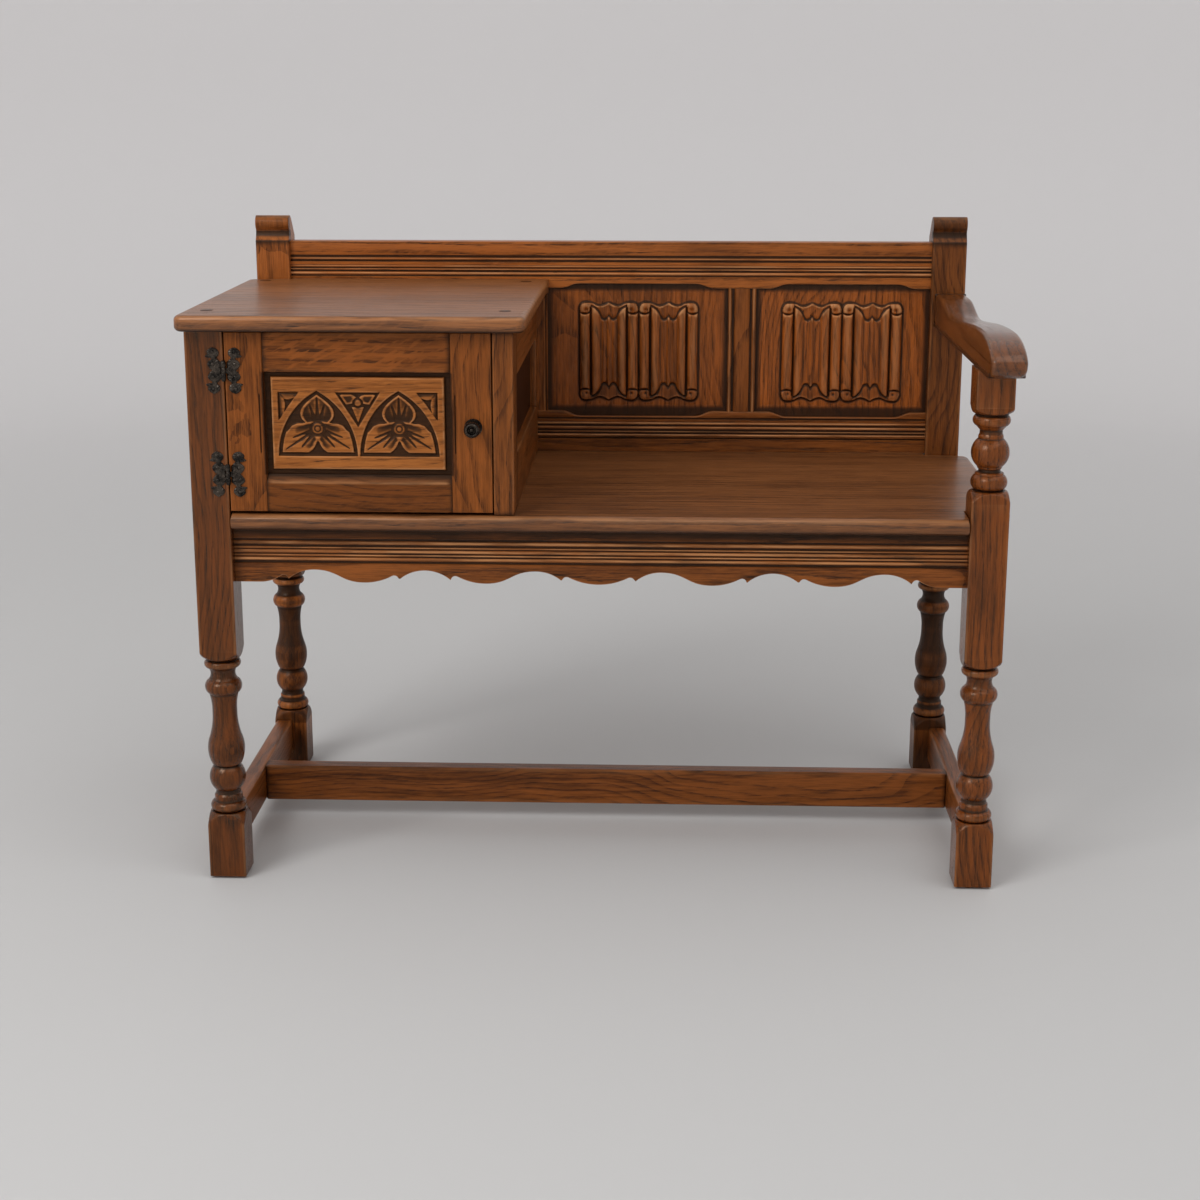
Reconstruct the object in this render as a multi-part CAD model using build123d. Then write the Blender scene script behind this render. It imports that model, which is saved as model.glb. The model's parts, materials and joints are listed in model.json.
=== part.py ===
"""Telephone bench in turned and carved oak: a seat with one arm, and a small cupboard
under a table top at the left. Millimetres, +Z up.

The sizes are set out from the outer face of the left front leg (x = 0), the front
face of the front legs (y = 0, the back of the bench is +y) and the floor (z = 0).
The last step moves the finished pieces to the middle of the bench's footprint.
"""
from build123d import *
import os
from math import sqrt

# ------------------------------------------------------------------ driving sizes
leg_span = 960.0            # outer face to outer face of the front legs
leg_size = 45.0             # square stock of the legs and posts
post_inset = 3.0            # each rear post stands this far in from the front leg
post_face_y = 400.0         # front face of the rear posts
glide_height = 3.0
glide_radius = 14.0

seat_height = 463.0
seat_thickness = 20.0
seat_front_y = -6.0         # the seat's front edge stands proud of the legs
seat_overhang = 10.0        # past the legs, at each side
seat_round = 7.0            # rounding of the seat's free edges
seat_corner = 14.0          # plan radius of the overhang's corners
seat_rear_y = 398.0         # rear edge of the overhang, beside the posts
notch_gap = 1.5             # air round the legs where a board is notched

apron_drop = 67.0           # front apron, from the seat to its lowest point
apron_face_y = 15.0
apron_thickness = 20.0
rail_thickness = 22.0       # side aprons, rear apron and stretchers
plain_apron_height = 65.0
rail_inset = 6.0            # outer face of the side rails, in from the leg

stretcher_low_z = 23.0
stretcher_height = 48.0
centre_stretcher_y = 211.0
side_stretcher_chamfer = 3.0
centre_stretcher_chamfer = 1.5

back_face_y = 408.0
back_height = 286.0         # top of the back rail above the seat
back_top_rail_height = 62.0
back_bottom_rail_height = 56.0
muntin_width = 37.0
left_opening_share = 0.5115 # the left carved opening's share of both
stile_width = 36.0
stile_overhang = 14.0       # the stile's inner edge past the cabinet's side
panel_field_y = 414.0       # the flat ground of the back panels
panel_thickness = 10.0
panel_tongue = 7.0          # how far a panel reaches into its groove
groove_spare = 1.0          # the groove is this much deeper than the tongue
ogee_flat = 16.0            # level stretch at each end of a shaped rail edge
ogee_run = 30.0
top_ogee_rise = 6.0
bottom_ogee_fall = 7.0

cabinet_height = 236.0      # table top above the seat
cabinet_top_thickness = 19.0
cabinet_top_front_y = -20.0
cabinet_top_left_x = -8.0
cabinet_top_overhang = 16.0 # past the cabinet's right side
cabinet_top_round = 6.0
cabinet_top_corner = 12.0
cabinet_side_x = 382.0      # outer face of the cabinet's right side
front_stile_width = 24.0
front_stile_depth = 50.0
rear_stile_depth = 28.0
side_frame_thickness = 20.0
side_panel_thickness = 7.0
side_panel_recess = 8.0
side_top_rail_height = 58.0
side_bottom_rail_height = 67.0

arm_width = 41.0
arm_step = 2.0              # arm's inner face, out from the leg's
arm_height = 175.0          # underside of the arm above the seat
arm_rear_thickness = 44.0
arm_dip_thickness = 29.0
arm_front_thickness = 45.0
arm_nose_reach = 82.0       # nose of the arm, in front of the legs
arm_nose_drop = 26.0        # foremost point of the nose below the arm's top
arm_nose_under = 27.0       # start of the flat underside behind the nose
arm_flat_length = 50.0      # level stretch in front of the post
arm_dip_share = 0.6375      # lowest point of the dip, as a share of the way to the post
arm_round = 6.0

door_gap_side = 1.5
door_gap_low = 3.0
door_gap_top = 2.0
door_thickness = 20.0
door_hinge_stile_width = 44.0
door_lock_stile_width = 47.5
door_top_rail_height = 46.0
door_bottom_rail_height = 44.0
door_sill_height = 9.5      # sloping sill above the bottom rail's face
door_sill_depth = 6.0
door_field_y = 4.0          # carved field, behind the door's face
door_border_y = 9.0         # sunk border round the field
door_panel_rear_y = 14.0
door_field_side_margin = 7.0
door_field_low_margin = 3.0
door_field_top_margin = 6.0
scratch_width = 1.2         # stopped scratched lines beside the panel
scratch_margin = 4.5
scratch_trim = 26.0

hinge_inset = 44.7          # middle of each hinge from the door's end
hinge_half_height = 27.0
hinge_leaf_near = 5.0       # straight inner edge of a leaf, from the pin
hinge_leaf_reach = 22.0     # hooked tips, from the pin
hinge_leaf_thickness = 1.5
hinge_barrel_radius = 3.0
hinge_pin_radius = 1.5
hinge_axis_forward = 3.2    # pin centre in front of the door's face
knuckle_height = 7.0
knuckle_gap = 0.3
pin_clearance = 0.05
pin_cap_radius = 2.4
pin_cap_height = 1.4
nail_offset = 13.0          # nails, sideways from the pin
nail_rows = (-22.0, -7.5, 7.5, 22.0)
nail_head_radius = 2.4
nail_head_height = 1.3
nail_shank_radius = 1.0
nail_length = 9.0
hinge_range = 170.0

knob_radius = 9.5
knob_height = 102.0         # above the door's lower edge
knob_edge = 21.5            # knob centre, in from the door's free edge
knob_length = 22.0
knob_plate_thickness = 1.5
knob_screw_radius = 1.8
knob_screw_reach = 9.0      # thread inside the knob
screw_head_radius = 4.0
screw_head_height = 2.2
screw_room = 0.3            # air round a screw in its hole
nail_room = 0.2

catch_width = 30.0
catch_depth = 13.0
catch_height = 10.0
catch_inset = 10.0          # from the door's free edge
catch_screw_bite = 10.0
strike_screw_length = 8.0
strike_thickness = 1.2
catch_gap = 0.4
small_screw_radius = 1.1

plug_radius = 7.5
plug_depth = 6.0
plug_left_x = 20.0
plug_front_y = 36.0
plug_right_front_y = 40.0
plug_rear_margin = 25.0     # rear plugs, in front of the posts
top_screw_radius = 2.0
top_screw_length = 45.0

tenon_thickness = 10.0
tenon_shoulder = 9.0        # from a rail's edge to its tenon
arm_tenon_width = 18.0
arm_tenon_length = 16.0
long_tenon = 22.0
short_tenon = 10.0
fit = 0.1                   # air round a tenon, a tongue or a shank
glue_block_width = 38.0     # blocks in the corners under the seat
glue_block_height = 30.0
block_screw_radius = 2.0
block_screw_bite = 12.0     # thread in the seat

# Turnings, from the bottom up: (height, radius at the step's end, radius at its
# middle). A step with no middle radius is straight.
shoulder_corner = leg_size / sqrt(2) + 0.7
LOWER_TURNING = [
    (18.5, 22.0, 28.6), (0.0, 17.5, None), (13.0, 17.5, 22.0), (2.0, 17.0, None),
    (5.0, 17.0, None), (2.6, 15.0, None), (4.4, 15.0, None), (31.6, 15.6, 22.0),
    (2.0, 18.0, None), (33.0, 20.2, 22.3), (29.0, 15.0, 16.4), (7.0, 15.0, None),
    (18.0, 17.0, 15.4), (3.0, 17.5, None), (18.0, 17.5, 22.4), (15.0, 17.5, 14.9),
    (10.0, 18.0, 22.1), (2.0, 20.5, None), (13.0, shoulder_corner, 28.4),
]
LOWER_TURNING_Z = 65.5
UPPER_TURNING = [
    (12.5, 22.0, 28.2), (2.0, 17.0, None), (18.0, 16.8, 21.5), (2.0, 16.8, None),
    (1.5, 12.8, None), (2.5, 12.8, None), (2.0, 14.5, None), (1.5, 14.7, None),
    (33.0, 14.7, 22.4), (3.0, 14.7, None), (3.0, 13.3, None), (4.0, 13.3, None),
    (5.0, 17.5, None), (13.0, 18.5, 22.0), (2.0, 20.5, None),
    (9.0, shoulder_corner, 28.0),
]
upper_turning_rise = 17.5   # start of the upper turning above the seat

# Mouldings, from the top of a board down: (shape, height).
APRON_MOULDING = [
    ("flat", 13.0), ("groove", 3.0), ("bead", 4.3), ("groove", 3.0), ("bead", 2.0),
    ("groove", 1.4), ("bead", 4.0), ("groove", 1.6), ("bead", 2.4), ("groove", 1.4),
    ("bead", 3.9), ("groove", 3.6),
]
TOP_RAIL_MOULDING = [
    ("flat", 18.0), ("groove", 4.0), ("bead", 2.3), ("groove", 3.4), ("flat", 4.0),
    ("bead", 2.7), ("groove", 2.0), ("bead", 2.0), ("groove", 2.7), ("bead", 3.4),
    ("groove", 2.7),
]
BOTTOM_RAIL_MOULDING = [
    ("flat", 8.7), ("groove", 2.7), ("flat", 3.5), ("bead", 3.5), ("groove", 2.8),
    ("bead", 3.4), ("groove", 2.9), ("bead", 1.7), ("groove", 2.4), ("bead", 3.2),
    ("flat", 1.0), ("groove", 2.8),
]
MUNTIN_MOULDING = [("bead", 4.7), ("groove", 4.0), ("flat", 20.2), ("groove", 3.5), ("bead", 4.6)]
STILE_MOULDING = [("bead", 3.0), ("groove", 3.0)]
reed_depth = 1.8
bead_fullness = 0.46        # rise of a bead as a share of its width, where the face allows

# Scalloped lower edge of the front apron. Lengths along the apron are shares of the
# pitch from arch to arch, which follows from the apron's length.
first_arch_share = 0.56     # first arch, from the middle of the apron
last_arch_share = 0.71      # last arch, from the leg
cusp_share = 0.233
notch_share = 0.293
plain_lobe_share = 0.455    # lowest point beside the smooth side of an arch
end_lobe_share = 0.195      # from the last notch to the level end
arches_a_side = 3
arch_rise = 15.5            # arch above the lowest points
cusp_rise = 3.8
notch_rise = 8.5

# Linenfold carving, one unit.
linen_width = 79.0
linen_gap = 2.0
linen_low_margin = 15.0     # carving above the bottom rail
linen_high_margin = 20.0    # carving below the top rail
linen_left_share = 0.518    # of the spare width, left of the carvings in the left panel
linen_right_share = 0.5     # and in the right panel
linen_relief = 5.0
roll_width = 13.6
fold_low = 16.3
fold_high = 27.2
fold_trim = 12.0            # the second folds stop short of the rolls
hollow_trim = 26.0
ridge_width = 4.0

# Tracery on the door panel.
arch_width = 92.0
arch_low_margin = 19.0      # arch feet above the panel opening's lower edge
arch_gap = 4.0
tracery_depth = 2.5
petal_relief = 1.8
button_radius = 6.9
button_rise = 33.0
small_button_radius = 4.4
spandrel_reach = 30.0
spandrel_high_margin = 27.0 # corner cuts below the panel opening's upper edge

# ------------------------------------------------------------------ worked out
seat_under_z = seat_height - seat_thickness
upper_turning_z = seat_height + upper_turning_rise
back_top_z = seat_height + back_height
back_top_rail_low_z = back_top_z - back_top_rail_height
back_bottom_rail_top_z = seat_height + back_bottom_rail_height
cabinet_top_z = seat_height + cabinet_height
arm_low_z = seat_height + arm_height
arm_rear_z = arm_low_z + arm_rear_thickness
arm_dip_z = arm_low_z + arm_dip_thickness
arm_front_z = arm_low_z + arm_front_thickness
arm_nose_z = arm_front_z - arm_nose_drop
cabinet_under_z = cabinet_top_z - cabinet_top_thickness
cabinet_top_right_x = cabinet_side_x + cabinet_top_overhang
stile_high_x = cabinet_side_x + stile_overhang
stile_low_x = stile_high_x - stile_width
plug_right_x = cabinet_side_x - front_stile_width / 2
plug_rear_y = post_face_y - plug_rear_margin
plug_places = ((plug_left_x, plug_front_y), (plug_right_x, plug_right_front_y),
               (plug_left_x, plug_rear_y), (plug_right_x, plug_rear_y))
post_x = (post_inset, leg_span - post_inset - leg_size)
back_left_x = post_x[0] + leg_size
back_right_x = post_x[1]
back_rear_y = back_face_y + rail_thickness
leg_x = (0.0, leg_span - leg_size)
arm_inner_x = leg_x[1] + arm_step
side_rail_x = (rail_inset, leg_span - rail_inset - rail_thickness)
rail_y = (leg_size, post_face_y)
middle_x = leg_span / 2
post_rear_y = post_face_y + leg_size
middle_y = (post_rear_y - arm_nose_reach) / 2
door_left_x = leg_size + door_gap_side
door_right_x = cabinet_side_x - front_stile_width - door_gap_side
door_low_z = seat_height + door_gap_low
door_high_z = cabinet_under_z - door_gap_top
hinge_z = {"upper": door_high_z - hinge_inset, "lower": door_low_z + hinge_inset}
knob_z = door_low_z + knob_height
hinge_axis_x = leg_size + door_gap_side / 2
hinge_axis_y = -hinge_axis_forward
panel_low_z = back_bottom_rail_top_z - bottom_ogee_fall - panel_tongue
panel_high_z = back_top_rail_low_z + top_ogee_rise + panel_tongue
groove = (panel_field_y - fit, panel_field_y + panel_thickness + fit)
both_openings = back_right_x - stile_high_x - muntin_width
muntin_x = stile_high_x + left_opening_share * both_openings
muntin_end_x = muntin_x + muntin_width
opening_x = (door_left_x + door_hinge_stile_width, door_right_x - door_lock_stile_width)
opening_z = (door_low_z + door_bottom_rail_height, door_high_z - door_top_rail_height)
arch_low_z = opening_z[0] + arch_low_margin
spandrel_top_z = opening_z[1] - spandrel_high_margin
knuckle_radius_clear = hinge_barrel_radius + 0.4
linen_low_z = back_bottom_rail_top_z + linen_low_margin
linen_high_z = back_top_rail_low_z - linen_high_margin
apron_half = leg_span / 2 - leg_size
scallop_pitch = apron_half / (first_arch_share + arches_a_side - 1 + last_arch_share)
scallop_first = first_arch_share * scallop_pitch
cusp_offset = cusp_share * scallop_pitch
notch_offset = notch_share * scallop_pitch
plain_lobe_offset = plain_lobe_share * scallop_pitch
end_lobe_offset = notch_offset + end_lobe_share * scallop_pitch

parts = {}
cuts = {}


# ------------------------------------------------------------------ basic shapes
def block(x0, x1, y0, y1, z0, z1):
    """A box between two corners."""
    centre = ((x0 + x1) / 2, (y0 + y1) / 2, (z0 + z1) / 2)
    return Pos(*centre) * Box(x1 - x0, y1 - y0, z1 - z0)


def grown(limits, by):
    """The limits of a box, let out by a clearance on every side."""
    return [value + (by if place % 2 else -by) for place, value in enumerate(limits)]


def prism_x(face, x0, x1):
    """A (y, z) outline run along x."""
    return Pos(x0, 0, 0) * extrude(Plane.YZ * face, amount=x1 - x0)


def prism_y(face, y0, y1):
    """An (x, z) outline run along y."""
    return Pos(0, y1, 0) * extrude(Plane.XZ * face, amount=y1 - y0)


def prism_z(face, z0, z1):
    """An (x, y) outline run along z."""
    return Pos(0, 0, z0) * extrude(face, amount=z1 - z0)


def prism_down(face, z0, z1):
    """A (y, x) outline run along z."""
    plane = Plane(origin=(0, 0, 0), x_dir=(0, 1, 0), z_dir=(0, 0, -1))
    return Pos(0, 0, z1) * extrude(plane * face, amount=z1 - z0)


def outline(edges):
    """The flat face inside a ring of edges."""
    return make_face(edges)


def polygon(*points):
    """A straight-sided outline."""
    return make_face(Polyline(*points, close=True))


def spun(edges, x, y):
    """A solid of revolution about the upright line at x, y."""
    return Pos(x, y, 0) * revolve(Plane.XZ * make_face(edges), axis=Axis.Z)


def rod_y(x, y0, y1, z, radius):
    """A round rod along y."""
    return Pos(x, (y0 + y1) / 2, z) * Rot(90, 0, 0) * Cylinder(radius, y1 - y0)


def rod_z(x, y, z0, z1, radius):
    """A round rod along z."""
    return Pos(x, y, (z0 + z1) / 2) * Cylinder(radius, z1 - z0)


def joined(solids):
    """Several separate solids as one named group."""
    return Compound([solid.solid() for solid in solids])


def cut_later(piece, tool):
    """Remember a hole that another piece needs in the named piece."""
    cuts.setdefault(piece, []).append(tool)


def make_cuts():
    """Cut every mortise, groove and hole that the other pieces asked for."""
    for piece, tools in cuts.items():
        parts[piece] = parts[piece] - tools


# ------------------------------------------------------------------ turned legs
def turning_edges(steps, z):
    """The profile of a turning from height z up, and the height where it ends."""
    edges = []
    radius = shoulder_corner
    for height, end_radius, crown in steps:
        start = (radius, z)
        end = (end_radius, z + height)
        if crown is None:
            edges.append(Line(start, end))
        else:
            edges.append(ThreePointArc(start, (crown, z + height / 2), end))
        radius = end_radius
        z += height
    return edges, z


def turned_post(x, y, turnings, top_z):
    """Square stock with turned lengths, standing at the corner x, y on its glide."""
    edges = [Line((0, glide_height), (shoulder_corner, glide_height))]
    z = glide_height
    for steps, start_z in turnings:
        edges.append(Line((shoulder_corner, z), (shoulder_corner, start_z)))
        turned, z = turning_edges(steps, start_z)
        edges += turned
    edges.append(Line((shoulder_corner, z), (shoulder_corner, top_z)))
    edges.append(Line((shoulder_corner, top_z), (0, top_z)))
    edges.append(Line((0, top_z), (0, glide_height)))
    half = leg_size / 2
    stock = block(x, x + leg_size, y, y + leg_size, glide_height, top_z)
    return stock & spun(edges, x + half, y + half)


def front_legs():
    """The left leg carries the table top, the right one is turned up to the arm."""
    left = turned_post(leg_x[0], 0, [(LOWER_TURNING, LOWER_TURNING_Z)], cabinet_under_z)
    turnings = [(LOWER_TURNING, LOWER_TURNING_Z), (UPPER_TURNING, upper_turning_z)]
    right = turned_post(leg_x[1], 0, turnings, arm_low_z)
    middle = leg_x[1] + leg_size / 2
    half = arm_tenon_width / 2
    tenon = (middle - half, middle + half, leg_size / 2 - half, leg_size / 2 + half,
             arm_low_z, arm_low_z + arm_tenon_length)
    cut_later("arm_rest", block(*grown(tenon, fit)))
    parts["front_leg_left"] = left
    parts["front_leg_right"] = right + block(*tenon)


def post_top(x):
    """The scrolled end of a rear post: a hollow, then a roll that turns forward."""
    roll = 10.5
    hollow_z = back_top_z + 13
    top_z = hollow_z + 2 * roll
    front = post_face_y
    rear = post_rear_y
    back_low_z = back_top_z + 6
    edges = [
        Line((front, back_top_z - 1), (front, back_top_z)),
        ThreePointArc((front, back_top_z), (front + 5, back_top_z + 7), (front + 5.5, hollow_z)),
        ThreePointArc((front + 5.5, hollow_z), (front + 1.5, hollow_z + roll),
                      (front + roll + 1.5, top_z)),
        Bezier((front + roll + 1.5, top_z), (front + 24, top_z), (rear - 12, back_low_z + 10),
               (rear, back_low_z)),
        Line((rear, back_low_z), (rear, back_top_z - 1)),
        Line((rear, back_top_z - 1), (front, back_top_z - 1)),
    ]
    return prism_x(outline(edges), x, x + leg_size)


def rear_posts():
    """Both rear posts, with the grooves that hold the ends of the back panels."""
    for name, x, slot in (("rear_post_left", post_x[0], 1), ("rear_post_right", post_x[1], -1)):
        post = turned_post(x, post_face_y, [(LOWER_TURNING, LOWER_TURNING_Z)], back_top_z)
        post += post_top(x)
        face = x + leg_size if slot > 0 else x
        inner = face - slot * (panel_tongue + groove_spare)
        low_z = panel_low_z - groove_spare
        post -= block(min(face, inner), max(face, inner), *groove, low_z,
                      panel_high_z + groove_spare)
        parts[name] = post


def foot_glides():
    """Four round nylon glides nailed under the feet."""
    glides = []
    for x, y in ((leg_x[0], 0), (leg_x[1], 0), (post_x[0], post_face_y), (post_x[1], post_face_y)):
        half = leg_size / 2
        glides.append(rod_z(x + half, y + half, 0, glide_height, glide_radius))
    parts["foot_glides"] = joined(glides)


# ------------------------------------------------------------------ plain rails
def tenon_x(piece, x, reach, y0, y1, z0, z1):
    """A tenon that runs along x from a shoulder at x, and its mortise in the piece."""
    middle = (y0 + y1) / 2
    half = tenon_thickness / 2
    low, high = sorted((x, x + reach))
    limits = (low, high, middle - half, middle + half, z0 + tenon_shoulder, z1 - tenon_shoulder)
    cut_later(piece, block(*grown(limits, fit)))
    return block(*limits)


def tenon_y(piece, y, reach, x0, x1, z0, z1):
    """A tenon that runs along y from a shoulder at y, and its mortise in the piece."""
    middle = (x0 + x1) / 2
    half = tenon_thickness / 2
    low, high = sorted((y, y + reach))
    limits = (middle - half, middle + half, low, high, z0 + tenon_shoulder, z1 - tenon_shoulder)
    cut_later(piece, block(*grown(limits, fit)))
    return block(*limits)


def side_stretchers():
    """The two stretchers that run from front to back, low down."""
    high_z = stretcher_low_z + stretcher_height
    for place, side in enumerate(("left", "right")):
        x0 = side_rail_x[place]
        x1 = x0 + rail_thickness
        inner = x1 if side == "left" else x0
        rail = block(x0, x1, *rail_y, stretcher_low_z, high_z)
        bevel = side_stretcher_chamfer
        way = -bevel if side == "left" else bevel
        corner = [(inner, high_z), (inner, high_z - bevel), (inner + way, high_z)]
        rail -= prism_y(polygon(*corner), *rail_y)
        name = "side_stretcher_" + side
        front, rear = "front_leg_" + side, "rear_post_" + side
        rail += tenon_y(front, rail_y[0], -long_tenon, x0, x1, stretcher_low_z, high_z)
        rail += tenon_y(rear, rail_y[1], long_tenon, x0, x1, stretcher_low_z, high_z)
        parts[name] = rail


def centre_stretcher():
    """The long stretcher between the two side ones."""
    x0 = side_rail_x[0] + rail_thickness
    x1 = side_rail_x[1]
    y0 = centre_stretcher_y
    y1 = y0 + rail_thickness
    high_z = stretcher_low_z + stretcher_height
    rail = block(x0, x1, y0, y1, stretcher_low_z, high_z)
    bevel = centre_stretcher_chamfer
    rail -= prism_x(polygon((y0, high_z), (y0, high_z - bevel), (y0 + bevel, high_z)), x0, x1)
    rail += tenon_x("side_stretcher_left", x0, -short_tenon, y0, y1, stretcher_low_z, high_z)
    rail += tenon_x("side_stretcher_right", x1, short_tenon, y0, y1, stretcher_low_z, high_z)
    parts["centre_stretcher"] = rail


def plain_aprons():
    """The side aprons and the rear apron under the seat."""
    low_z = seat_under_z - plain_apron_height
    for place, side in enumerate(("left", "right")):
        x0 = side_rail_x[place]
        x1 = x0 + rail_thickness
        rail = block(x0, x1, *rail_y, low_z, seat_under_z)
        rail += tenon_y("front_leg_" + side, rail_y[0], -short_tenon, x0, x1, low_z, seat_under_z)
        rail += tenon_y("rear_post_" + side, rail_y[1], short_tenon, x0, x1, low_z, seat_under_z)
        parts["side_apron_" + side] = rail
    y0, y1 = back_face_y, back_rear_y
    rail = block(back_left_x, back_right_x, y0, y1, low_z, seat_under_z)
    rail += tenon_x("rear_post_left", back_left_x, -long_tenon, y0, y1, low_z, seat_under_z)
    rail += tenon_x("rear_post_right", back_right_x, long_tenon, y0, y1, low_z, seat_under_z)
    parts["rear_apron"] = rail


# ------------------------------------------------------------------ mouldings
def moulded_section(face, rear, start, end, steps, way=-1):
    """The section of a moulded board: its worked face, then flat to its far edge.

    Flats lie in the face, grooves are sunk channels, and a bead swells from the
    bottom of the channels towards the face, at most a half round.
    """
    steps = steps + [("flat", abs(end - start) - sum(height for shape, height in steps))]
    edges = []
    depth = 0.0 if steps[0][0] == "flat" else reed_depth
    corner = (face + depth, start)
    edges.append(Line((rear, start), corner))
    for shape, height in steps:
        if height < 0.01:
            continue
        sunk = 0.0 if shape == "flat" else reed_depth
        if sunk != depth:
            step_in = (face + sunk, corner[1])
            edges.append(Line(corner, step_in))
            corner = step_in
            depth = sunk
        far = (face + depth, corner[1] + way * height)
        if shape == "bead":
            crown = face + max(0.0, reed_depth - bead_fullness * height)
            edges.append(ThreePointArc(corner, (crown, (corner[1] + far[1]) / 2), far))
        else:
            edges.append(Line(corner, far))
        corner = far
    edges.append(Line(corner, (rear, end)))
    edges.append(Line((rear, end), (rear, start)))
    return outline(edges)


def arch_edges(centre, side, low_z, smooth):
    """Half of an apron arch, from its crown to the notch or the smooth lobe beside it."""
    crown = (centre, low_z + arch_rise)
    if smooth:
        end_x = centre + side * plain_lobe_offset
        half_x = (centre + end_x) / 2
        return [Bezier(crown, (half_x, low_z + arch_rise), (half_x, low_z), (end_x, low_z))]
    cusp = (centre + side * cusp_offset, low_z + cusp_rise)
    notch = (centre + side * notch_offset, low_z + notch_rise)
    middle = (centre + side * (cusp_offset + notch_offset) / 2 - side * 2, low_z + notch_rise - 0.8)
    return [TangentArc(crown, cusp, tangent=(side, 0)), ThreePointArc(cusp, middle, notch)]


def apron_outline(x0, x1, low_z, high_z):
    """The front apron seen from the front: three arches each side of a middle lobe."""
    edges = []
    first_notch = scallop_first - notch_offset
    edges.append(ThreePointArc((middle_x - first_notch, low_z + notch_rise), (middle_x, low_z),
                               (middle_x + first_notch, low_z + notch_rise)))
    for side in (-1, 1):
        arch = [middle_x + side * (scallop_first + step * scallop_pitch)
                for step in range(arches_a_side)]
        edges += arch_edges(arch[0], -side, low_z, False)
        edges += arch_edges(arch[0], side, low_z, True)
        lobe = (arch[0] + side * plain_lobe_offset, low_z)
        notch = (arch[1] - side * notch_offset, low_z + notch_rise)
        edges.append(TangentArc(lobe, notch, tangent=(side, 0)))
        edges += arch_edges(arch[1], -side, low_z, False)
        edges += arch_edges(arch[1], side, low_z, False)
        notch = (arch[1] + side * notch_offset, low_z + notch_rise)
        lobe = (arch[2] - side * plain_lobe_offset, low_z)
        edges.append(TangentArc(lobe, notch, tangent=(-side, 0)))
        edges += arch_edges(arch[2], -side, low_z, True)
        edges += arch_edges(arch[2], side, low_z, False)
        notch = (arch[2] + side * notch_offset, low_z + notch_rise)
        end_x = x1 if side > 0 else x0
        lobe = (arch[2] + side * end_lobe_offset, low_z)
        edges.append(TangentArc(lobe, notch, tangent=(-side, 0)))
        edges.append(Line(lobe, (end_x, low_z)))
        edges.append(Line((end_x, low_z), (end_x, high_z)))
    edges.append(Line((x0, high_z), (x1, high_z)))
    return outline(edges)


def front_apron():
    """The moulded and scalloped apron under the front of the seat."""
    x0 = leg_size
    x1 = leg_x[1]
    y0 = apron_face_y
    y1 = y0 + apron_thickness
    low_z = seat_under_z - apron_drop
    section = moulded_section(y0, y1, seat_under_z, low_z, APRON_MOULDING)
    apron = prism_x(section, x0, x1) & prism_y(apron_outline(x0, x1, low_z, seat_under_z), y0, y1)
    for leg, x, reach in (("front_leg_left", x0, -long_tenon), ("front_leg_right", x1, long_tenon)):
        apron += tenon_x(leg, x, reach, y0, y1, low_z, seat_under_z)
    parts["front_apron"] = apron


# ------------------------------------------------------------------ seat
def seat_board():
    """One board, notched round the four legs, that also makes the cupboard's floor."""
    inner_left = leg_size + notch_gap
    inner_right = leg_x[1] - notch_gap
    side_y = leg_size + notch_gap
    left = -seat_overhang
    right = leg_span + seat_overhang
    rear_left = back_left_x + notch_gap
    rear_right = back_right_x - notch_gap
    shape = polygon(
        (inner_left, seat_front_y), (inner_right, seat_front_y), (inner_right, side_y),
        (right, side_y), (right, seat_rear_y), (rear_right, seat_rear_y),
        (rear_right, back_rear_y), (rear_left, back_rear_y), (rear_left, seat_rear_y),
        (left, seat_rear_y), (left, side_y), (inner_left, side_y))
    seat = prism_z(shape, seat_under_z, seat_height)
    corners = seat.edges().filter_by(Axis.Z)
    outer = [edge for edge in corners if not left + 1 < edge.center().X < right - 1]
    seat = fillet(outer, seat_corner)
    ends = seat.edges().filter_by(Plane.XY)
    free = [edge for edge in ends if edge_is_free(edge, left, right)]
    parts["seat_board"] = fillet(free, seat_round)


def edge_is_free(edge, left, right):
    """True for the seat's front edge and for the edges of its side overhangs."""
    spot = edge.center()
    return spot.Y < seat_front_y + 1 or spot.X < left + seat_corner or spot.X > right - seat_corner


def seat_blocks():
    """Four glue blocks behind the aprons, each with a screw up into the seat."""
    blocks = []
    screws = []
    half = glue_block_width / 2
    low_z = seat_under_z - glue_block_height
    top_z = seat_under_z + block_screw_bite
    front_y = apron_face_y + apron_thickness + half
    rear_y = back_face_y - half
    places = ((leg_size + half, front_y), (leg_x[1] - half, front_y),
              (back_left_x + half, rear_y), (back_right_x - half, rear_y))
    for x, y in places:
        hole = rod_z(x, y, low_z - 1, top_z + 1, block_screw_radius + screw_room)
        blocks.append(block(x - half, x + half, y - half, y + half, low_z, seat_under_z) - hole)
        cut_later("seat_board", hole)
        head = rod_z(x, y, low_z - screw_head_height, low_z, screw_head_radius)
        screws.append(head + rod_z(x, y, low_z, top_z, block_screw_radius))
    parts["seat_blocks"] = joined(blocks)
    parts["seat_block_screws"] = joined(screws)


# ------------------------------------------------------------------ back
def ogee(x0, z0, x1, z1):
    """A level-to-level reverse curve."""
    half = (x0 + x1) / 2
    return Bezier((x0, z0), (half, z0), (half, z1), (x1, z1))


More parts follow.
